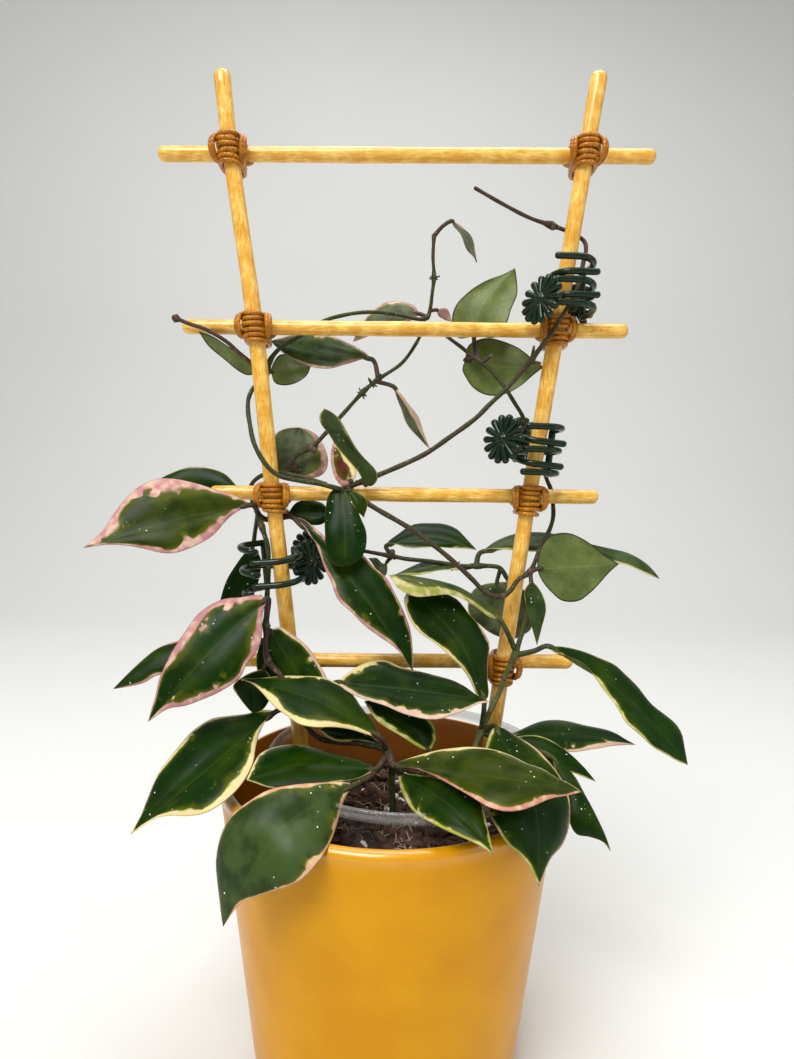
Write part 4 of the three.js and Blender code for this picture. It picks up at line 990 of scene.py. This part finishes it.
LEAVES = {"left_vine": [
    ("257,512,12", "252,505,4 178,520,-12 83,548,-24",
     "246,507 231,516 210,538 182,551 167,553 136,547 108,545",
     "238,497 224,492 210,487 193,482 175,479 159,479 141,486 126,498 113,514 101,532", (-6, 8),
     ((PINK, 0.5, 3.6, 2.8, 0.8, 0.2), (PINK, 0.6, 2.4, 6.4, 6.4, 0.6)), OLIVE),
    ("251,492,23", "243,494,23 195,490,24 140,500,22", "215,505 195,511 165,508",
     "236,485 222,472 194,467 174,472 156,481", (-2, 3), ((LIME, 0.2), (LIME, 0.3))),
    ("258,516,12 255,532,20", "253,546,23 239,580,22 215,625,13", "261,560 256,590 239,612",
     "242,556 229,576 221,597", (-1, 2), both(LIME, 0.0)),
    ("266,622,-3", "268,598,-5 212,650,-18 148,722,-28",
     "263,612 261,641 256,653 247,664 240,678 229,686 217,693 201,700 185,706 168,709",
     "255,595 242,597 222,599 199,613 190,625 172,652 164,667 158,681 155,696 151,710", (-3, 5),
     ((PINK, 2.2, 2.8, 2.4, 4.6, 0.3), (PINK, 2.6, 4.0, 3.4, 2.0, 0.2))),
    ("266,640,-4", "240,643,-5 170,663,-10 113,689,-14", "215,672 185,678 158,675 144,683 121,688",
     "205,634 175,642 157,649 137,664", (-2, 6),
     ((PINK, 0.2, 0.4, 1.4, 0.6, 0.2), (PINK, 0.6, 0.8, 0.7, 0.4, 0.2))),
    ("267,640,-4", "270,630,-1 291,662,-0.5 318,700,-4",
     "280,627 289,632 302,641 312,652 319,664 325,674 329,686", "262,640 256,662 264,685 290,703",
     (1.5, -1.5), ((SHELL, 0.6, 1.0, 1.4, 2.2, 0.8), (LIME, 0.3))),
    ("268,660,-6", "264,668,-5 254,688,-5 256,716,-7", "272,680 272,692 266,706",
     "246,675 233,686 238,696 247,708", (1, 0), ((LIME, 0.3), (CREAM, 0.5))),
    ("386,748,-20", "381,738,-23 315,701,-17 240,679,-9",
     "366,734 353,730 334,728 315,728 299,724 287,715 273,705 261,692 252,684",
     "373,722 363,708 353,694 338,684 322,678 302,676 282,675 257,678", (-12, 14),
     ((CREAM, 0.8, 1.6, 2.8, 2.8, 1.2), (CREAM, 0.3, 0.5, 1.2, 2.8, 0.8))),
    ("297,706,-8", "277,711,-6 214,765,-28 130,835,-44",
     "267,719 260,732 256,747 254,761 249,774 239,788 228,798 217,806 203,813 186,816 171,816 156,819 "
     "145,825",
     "260,710 248,713 228,715 212,718 202,724 191,733 180,746 170,758 158,773 151,787 145,802 140,816",
     (-14, 14), ((CREAM, 0.8, 2.8, 3.2, 3.0, 0.8), (CREAM, 1.0, 1.4, 2.2, 1.0, 0.4))),
    ("384,758,-24", "375,770,-33 305,766,-33 246,780,-44", "350,781 302,786 268,788",
     "362,762 341,755 314,748 287,746 262,752", (-14, 17),
     ((LIME, 0.4), (CREAM, 0.6, 1.0, 1.0, 2.2, 1.0))),
    ("386,755,-21 371,776,-36", "355,785,-45 281,830,-70 223,927,-74",
     "346,797 337,824 330,843 317,864 298,882 274,891 252,898 239,905 231,915",
     "343,782 327,782 295,784 268,790 247,803 231,816 220,838 215,862 216,880 219,902", (-6, 9),
     ((PEACH, 1.0, 1.6, 1.4, 1.0, 0.6), (PEACH, 1.0, 1.8, 0.9, 0.5, 0.4)), PAINTED_SHEEN_GREEN),
    ("388,754,-21", "393,766,-32 475,776,-60 582,792,-62",
     "400,761 427,753 454,749 473,747 496,749 513,755 527,763 542,769 555,778 569,784",
     "416,769 435,776 454,787 473,799 488,808 504,812 521,810 534,805 550,798 569,795", (18, -16),
     ((CREAM, 1.2, 3.4, 2.6, 1.0, 0.5), (ROSE, 1.0, 1.3, 1.5, 1.2, 0.6)), OLIVE),
    ("389,756,-20", "398,772,-30 452,808,-63 493,854,-80",
     "425,776 458,786 478,798 484,811 487,826 491,842", "400,788 408,805 421,818 439,827 458,835 477,844",
     (5, -6), ((LIME, 0.5), (LIME, 1.4, 1.8, 1.4, 0.9, 0.4))),
    ("303,716,-6", "335,683,-3 412,691,-6 490,702,-17",
     "347,673 363,664 384,661 401,667 426,672 450,679 465,687 476,695",
     "350,693 369,700 384,705 402,714 415,718 428,720 440,719 453,714 466,709 478,704", (13, -16),
     ((CREAM, 2.6, 2.8, 0.8, 0.4, 0.3), (SHELL, 1.2, 1.8, 2.0, 1.6, 0.5))),
    ("262,519,12 265,519,15 275,520,16.5", "292,517,13 362,594,-1 413,672,-12",
     "302,518 312,525 322,534 333,543 348,548 361,553 373,566 386,577 393,589 400,603 406,617 410,629 "
     "412,641 413,656",
     "297,520 305,526 313,538 319,552 324,567 331,582 338,600 351,612 365,626 380,637 393,646 403,656",
     (2, -4), ((PINK, 0.8, 1.2, 1.4, 1.4, 0.6), (PINK, 0.8, 1.4, 1.2, 2.0, 0.8))),
    ("262,520,12 265,520,16 275,519,18.5", "288,513,20.5 308,513,21.5 331,514,20.5",
     "296,503 308,500 322,503", "296,521 308,525 322,524", (2, -2), both(LIME, 0.0)),
    ("385,750,-19", "380,744,-14 348,735,-10 318,730,-6", "362,742 348,742 330,739",
     "362,728 348,722 330,724", (-4, 4), ((CREAM, 0.8), (LIME, 0.4))),
], "low_shoot": [
    ("434,768,-17", "430,752,-15.5 405,728,-10 364,701,-2", "418,747 402,737 389,729 376,720",
     "436,738 433,723 415,708 390,699", (-4, 4),
     ((LIME, 1.0, 2.0, 2.0, 1.2, 0.6), (LIME, 1.4, 1.6, 1.0, 0.6, 0.3))),
], "left_loop": [
    ("268,368,18.5", "260,371,18.5 228,352,15 198,331,10.5", "250,362 230,347 214,337",
     "249,375 236,369 224,360 208,345", (-2.5, 3), both(LIME, 0.2)),
    ("270,368,19", "271,372,24 291,371,32 311,366,36", "274,382 284,385 297,383 307,375",
     "273,363 281,354 293,355 304,360", (-3, 3), both(LIME, 0.2)),
    ("426,317,24", "420,314,26 390,313,30 353,342,29", "408,322 386,327 365,338",
     "412,304 392,301 374,310 358,328", (-2, 4), ((SHADED_PINK, 0.8), (SHADED_PINK, 1.4)), SAGE),
    ("430,312,24", "437,310,25 445,314,26 452,322,26", "447,309", "441,318", (0, 0), both(SHADED_PINK, 6.0)),
    ("434,237,23 443,226,23", "452,221,23 466,236,23 477,263,23", "463,241", "469,235", (8, -6),
     ((SHADED_PINK, 1.6), (SHADED_PINK, 1.0)), PAINTED_SHEEN_GREEN),
], "back_stem": [
    ("292,461,22", "300,478,26 300,455,29 300,427,33", "284,476 273,462 271,447 275,434 285,429",
     "317,477 326,470 328,459 324,446 317,435 309,430", (1, -1),
     ((SHADED_PINK, 0.5), (SHADED_PINK, 1.2, 2.4, 3.0, 2.0, 0.8)), SAGE),
    ("377,379,22", "373,360,25 322,352,29 270,341,27", "364,359 348,364 330,369 310,366 284,354",
     "362,350 345,341 322,334 295,334", (-4, 3),
     ((SHADED_PINK, 0.4, 1.0, 0.8, 0.6, 0.3), (SHADED_PINK, 0.6, 1.0, 1.6, 0.8, 0.3)), PAINTED_SHEEN_GREEN),
    ("377,383,22", "394,387,23 411,414,24 430,449,26", "404,397 416,413 422,428",
     "399,405 409,426 422,442", (-5, 6), ((SHELL, 2.5), (PEACH, 1.2)), SAGE),
], "diagonal_up": [
    ("350,487,12.5", "352,482,16 341,464,21 334,440,24", "344,487 336,479 331,466 331,453",
     "356,476 352,462 343,449", (3, -1), ((PINK, 2.0), (CREAM, 1.6)), REDDISH),
    ("346,488,12.5", "350,490,6 359,502,3.5 364,518,3", "367,501", "353,505", (0, 0), both(LIME, 0.3)),
    ("364,481,12", "366,485,7 351,450,0 324,408,-8", "358,472 346,457 335,445 327,433 321,424 320,415",
     "372,486 377,480 376,472 365,458 356,446 347,432 338,418 330,411", (6, -6),
     ((LIME, 1.0, 1.3, 1.3, 1.0, 0.5), (LIME, 0.3)), PAINTED_SHEEN_GREEN),
    ("347,488,12.5", "342,489,8 345,525,1 345,567,-4",
     "349,489 355,500 360,516 366,531 366,546 362,557 355,563",
     "334,489 328,496 325,512 325,531 326,548 329,559 336,565", (0, 1), both(LIME, 0.2)),
], "diagonal_down": [
    ("480,361,19.5 475,348,24", "474,336,25 482,305,26 515,268,30",
     "496,337 507,322 511,310 517,295 517,280", "458,338 452,321 456,305 469,291 484,282 502,275", (-4, 2),
     both(LIME, 0.2)),
    ("474,358,20.5", "465,360,24 500,367,28 544,367,27",
     "462,370 466,378 473,387 484,394 496,396 509,393 522,385 532,376",
     "468,346 478,340 491,338 504,341 517,347 530,357", (-3, 4), both(LIME, 0.2)),
    ("530,572,5", "537,569,4 568,567,1 619,564,-5",
     "540,577 545,585 553,594 562,601 578,601 591,592 601,582 610,572",
     "538,556 543,543 551,535 567,533 579,537 591,544 602,553 611,559", (2, -1), both(LIME, 0.2)),
    ("530,573,5", "531,580,3 535,608,1 537,646,0", "538,587 544,598 546,610 542,627",
     "524,592 527,610 532,628", (-1, 1), both(LIME, 0.3), PAINTED_SHEEN_GREEN),
], "right_vine": [
    ("483,731,-8", "494,726,-10 532,800,-50 539,887,-66",
     "503,727 519,737 536,749 551,765 563,781 569,795 571,811 569,830 561,847 551,857 546,867 542,880",
     "488,738 482,765 483,792 488,813 496,826 507,843 521,855 529,866 534,877", (12, -8),
     ((PEACH, 1.8, 1.4, 1.2, 1.0, 0.6), (LIME, 1.8, 0.8, 1.0, 1.0, 0.6))),
    ("484,735,-8", "552,757,-16 590,806,-27 611,852,-33", "572,774 586,796 596,815 604,833",
     "560,790 568,820 576,834 590,837 603,842", (6, -2), both(LIME, 0.3)),
    ("484,734,-7", "508,739,-6 566,757,-11 596,782,-15", "520,736 535,736 552,741 565,749 577,760 588,772",
     "525,752 545,768 560,773 571,772 584,777", (5, -8),
     ((LIME, 0.8, 1.0, 1.0, 0.6, 0.3), (LIME, 0.5, 1.4, 0.9, 0.6, 0.3))),
    ("484,733,-7", "508,735,2 570,735,11 636,745,8", "529,726 546,721 565,720 587,725 609,731 626,740",
     "530,742 552,750 573,753 595,749 609,746 624,745", (13, -10),
     ((LIME, 0.3), (SHELL, 0.3, 0.8, 2.4, 2.6, 1.0))),
    ("516,655,-1 534,651,-2", "548,646,-3 630,701,-9 688,765,-20",
     "564,646 579,650 596,657 614,665 625,674 639,687 653,704 665,714 675,723 681,733 684,748",
     "553,652 564,655 579,661 587,666 596,679 605,692 617,709 625,723 639,734 653,746 668,755 679,762",
     (10, -10), ((PEACH, 0.8, 0.9, 0.5, 0.7, 0.3), (LIME, 1.6, 2.2, 1.0, 0.6, 0.4))),
    ("481,732,-8", "484,700,-8 458,641,-11 412,590,-6",
     "479,699 476,694 470,681 461,668 449,656 437,644 421,633 411,622 405,608 404,597",
     "488,697 488,679 489,659 490,645 486,636 478,625 467,612 457,599 438,590 424,587", (-7, 8),
     ((CREAM, 0.9, 1.0, 1.4, 1.6, 0.8), (PEACH, 0.6, 0.8, 0.6, 0.4, 0.3))),
    ("514,652,-1", "500,620,-4 450,589,-8 389,575,-10",
     "490,617 480,610 465,601 449,595 433,595 414,596 398,589",
     "500,612 488,605 475,597 460,589 442,583 421,578 404,575", (-12, 12),
     ((STRAW, 3.0, 4.4, 4.8, 4.4, 2.0), (LIME, 0.3)), PAINTED_SHEEN_GREEN),
    ("477,564,20", "480,553,22 568,541,25 660,579,15",
     "493,542 508,536 517,534 544,533 570,537 591,544 608,548 627,553 643,562 654,572",
     "490,549 514,550 537,551 575,554 614,562 630,566 645,573", (10, -9),
     ((LIME, 0.3), (LIME, 0.5, 0.9, 0.9, 0.9, 0.4)), PAINTED_SHEEN_GREEN),
    ("391,555,22", "386,546,24 430,538,28 477,550,27",
     "388,541 398,534 414,525 429,523 444,523 456,528 466,539", "392,544 407,547 426,548 444,548 461,548",
     (10, -7), ((LIME, 0.3), (LIME, 0.4))),
    ("390,557,22", "387,562,23 380,567,23 368,558,24", "385,576", "377,558", (-1, 1), both(LIME, 0.3),
     SAGE),
    ("474,567,20", "466,568,21 434,567,24 390,577,24", "434,572", "434,561", (-11, 11),
     ((LIME, 1.0), (LIME, 0.3)), PAINTED_SHEEN_GREEN),
    ("500,570,19", "497,582,22 500,610,26 512,640,25", "509,583 524,596 532,615 531,629 521,636",
     "485,584 472,592 468,608 471,616 480,625 490,633 502,638", (-3, 3), both(LIME, 0.4), SAGE),
]}
STALK_RADIUS = 1.0
STEM_SHARE = 0.9  # the bark is drawn a little slimmer than the solid behind it
STEM_STEP = 1.6
STEM_TAPER = 0.3
NODE_SWELL = 0.5  # how much thicker a node is, as a share
NODE_REACH = 2.2
LARGE_LEAF = 60  # a longer leaf's stalk is no thicker
STALK_END = (0.85, 0.6, 0.35)  # the stalk thins out in the midrib
KNOB = {"radius": 2.0, "tip": 1.2, "widest": 1.9, "length": 3.0}


def add_twig(body, given):
    """A bare flower stalk that ends in a small knob."""
    path = smooth([seen_at(*point) for point in given], 24)
    ahead = (path[-1] - path[-2]) / norm(path[-1] - path[-2])
    radii = [STALK_RADIUS * 0.9] * len(path) + [1.5, KNOB["radius"], KNOB["tip"]]
    reach = (KNOB["widest"] / 2, KNOB["widest"], KNOB["length"])
    path = np.vstack([path, [path[-1] + ahead * r for r in reach]])
    add_tube(body, path, radii, 12, tone=np.full(len(path), 0.9))


def add_bristles(body, middle, rng):
    """Short rootlets that stand out round a node."""
    for _ in range(7):
        way = np.array([rng.uniform(-1, 1) for _ in range(3)])
        way /= max(norm(way), 0.2)
        length = rng.uniform(1.6, 3.4)
        path = [middle + way * 0.6, middle + way * length * 0.6, middle + way * length + [0, 0, 0.4]]
        add_tube(body, smooth(path, 6), np.linspace(0.5, 0.28, 6), 6, tone=np.full(6, 0.6))


def add_bead(body, middle, radius):
    """A round bud or scar on a stem."""
    ends = middle + np.array([[0, 0, -0.3], [0, 0, 0.3]]) * radius
    add_tube(body, ends, radius, 10, dome=0.8, tone=np.full(2, 1.35))


def leafy_stem(name, finishes, radius, tone, path, nodes, twig="", bristles="", beads="", spurs=(),
               stalks=0.9):
    """A stem as one piece of wood, and its leaves as another."""
    bark, *leaf_finishes = finishes
    rng = random.Random(len(name) * 7 + 3)
    given = [seen_at(*point) for point in spots(path)]
    length = sum(norm(b - a) for a, b in zip(given, given[1:]))
    path = smooth(given, max(12, int(length / STEM_STEP)))
    s = np.linspace(0, 1, len(path))
    radii = STEM_SHARE * radius * (1 - STEM_TAPER * s)
    for node in spots(nodes):
        away = norm(path - seen_at(*node), axis=1)
        radii = radii * (1 + NODE_SWELL * np.exp(-((away / NODE_REACH) ** 2)))
    radii = radii * (1 + 0.05 * np.sin(np.arange(len(path)) * 0.9))
    wood = Body()
    add_tube(wood, path, radii, 12, tone=np.interp(s, np.linspace(0, 1, len(tone)), tone))
    if twig:
        add_twig(wood, spots(twig))
    for spot in spots(bristles):
        add_bristles(wood, nearest_on(path, seen_at(*spot)), rng)
    for *spot, size in spots(beads):
        add_bead(wood, seen_at(*spot), size)
    for spur in spurs:
        start, end = spots(spur)
        way = np.linspace(seen_at(*start), seen_at(*end), 6)
        add_tube(wood, way, np.linspace(1.1, 0.5, 6), 8, tone=np.linspace(0.4, 1.5, 6))
    blades = Body()
    for stalk, *blade in LEAVES[name]:
        centre = add_leaf(blades, *blade)
        root, *rest = [seen_at(*point) for point in spots(stalk)]
        way = smooth([nearest_on(path, root), *rest, centre[0], centre[3]], 18)
        u = np.linspace(0, 1, len(way))
        size = norm(centre[-1] - centre[0])
        thick = STALK_RADIUS * (0.85 + min(size, LARGE_LEAF) / 150) * (1.1 - 0.2 * np.sin(math.pi * u))
        thick[-len(STALK_END):] *= STALK_END
        add_tube(wood, way, thick, 10, tone=stalks - 0.5 * u + 0.1 * rng.uniform(-1, 1))
    wood.make(f"{name}_wood", [bark], name)
    blades.make(f"{name}_leaves", leaf_finishes, name)


# ---- stage ----


# metres and watts
AIMED_AT = (0.0, 0.0, 0.22)
LIGHTS = {  # place, size and power
    "key": ((-0.42, -0.85, 1.4), (0.8, 0.8), 24),
    "top": ((0.15, 0.25, 1.7), (1.2, 0.9), 17),
    "side": ((1.2, -0.5, 0.7), (0.6, 1.2), 3),
}
SKY = (1.0, 1.0, 0.99, 1.0)
SKY_STRENGTH = 0.34
FLOOR_HALF_WIDTH = 3.0
FLOOR_FRONT = -2.5
BEND = {"y": 0.9, "radius": 0.6}  # where the floor curves up
BACKDROP_TOP = 3.0


def area_light(name, place, size, power):
    data = bpy.data.lights.new(name, "AREA")
    data.shape = "RECTANGLE"
    data.size, data.size_y = size
    data.energy = power
    lamp = bpy.data.objects.new(name, data)
    lamp.location = place
    lamp.rotation_euler = (Vector(AIMED_AT) - Vector(place)).to_track_quat("-Z", "Y").to_euler()
    bpy.context.scene.collection.objects.link(lamp)


def stage():
    """A pale floor that curves up into a backdrop, and soft light from large panels."""
    start, radius = BEND["y"], BEND["radius"]
    profile = [(FLOOR_FRONT, 0.0), (start, 0.0)]
    profile += [(start + radius * math.sin(a), radius - radius * math.cos(a))
                for a in np.radians(range(9, 91, 9))]
    profile += [(start + radius, BACKDROP_TOP)]
    points = [(x, y, z) for y, z in profile for x in (-FLOOR_HALF_WIDTH, FLOOR_HALF_WIDTH)]
    faces = [(2 * i, 2 * i + 1, 2 * i + 3, 2 * i + 2) for i in range(len(profile) - 1)]
    mesh = bpy.data.meshes.new("floor")
    mesh.from_pydata(points, [], faces)
    mesh.polygons.foreach_set("use_smooth", [True] * len(faces))
    pale = mottled_material("floor", (400, 2), (214, 214, 211), (220, 220, 217), Roughness=0.9)
    mesh.materials.append(pale)
    floor = bpy.data.objects.new("floor", mesh)
    bpy.context.scene.collection.objects.link(floor)

    for name, facts in LIGHTS.items():
        area_light(name, *facts)
    world = bpy.data.worlds.new("world")
    world.use_nodes = True
    background = world.node_tree.nodes["Background"]
    background.inputs["Color"].default_value = SKY
    background.inputs["Strength"].default_value = SKY_STRENGTH
    bpy.context.scene.world = world
    bpy.context.scene.view_settings.view_transform = "Standard"


# ---- the plant ----

add_camera()
stage()
cover_pot()
nursery_pot()
potting_mix()
trellis()
waxed = cord_material()
for side in UPRIGHTS:
    for index in range(len(RUNGS)):
        lashing(side, index, waxed)
coated = mottled_material(
    "wire", (5, 3), (8, 24, 12), (22, 44, 24), (1.2, 3, 0.08, 0.4),
    Roughness=0.25, Specular_IOR_Level=0.2, Coat_Weight=0.2, Coat_Roughness=0.08,
)
for clip_name, clip_facts in CLIPS.items():
    vine_clip(clip_name, clip_facts, coated)
plant_finishes = [stem_material(), leaf_top_material(), leaf_under_material()]
for stem_name, stem_facts in STEMS.items():
    leafy_stem(stem_name, plant_finishes, **stem_facts)
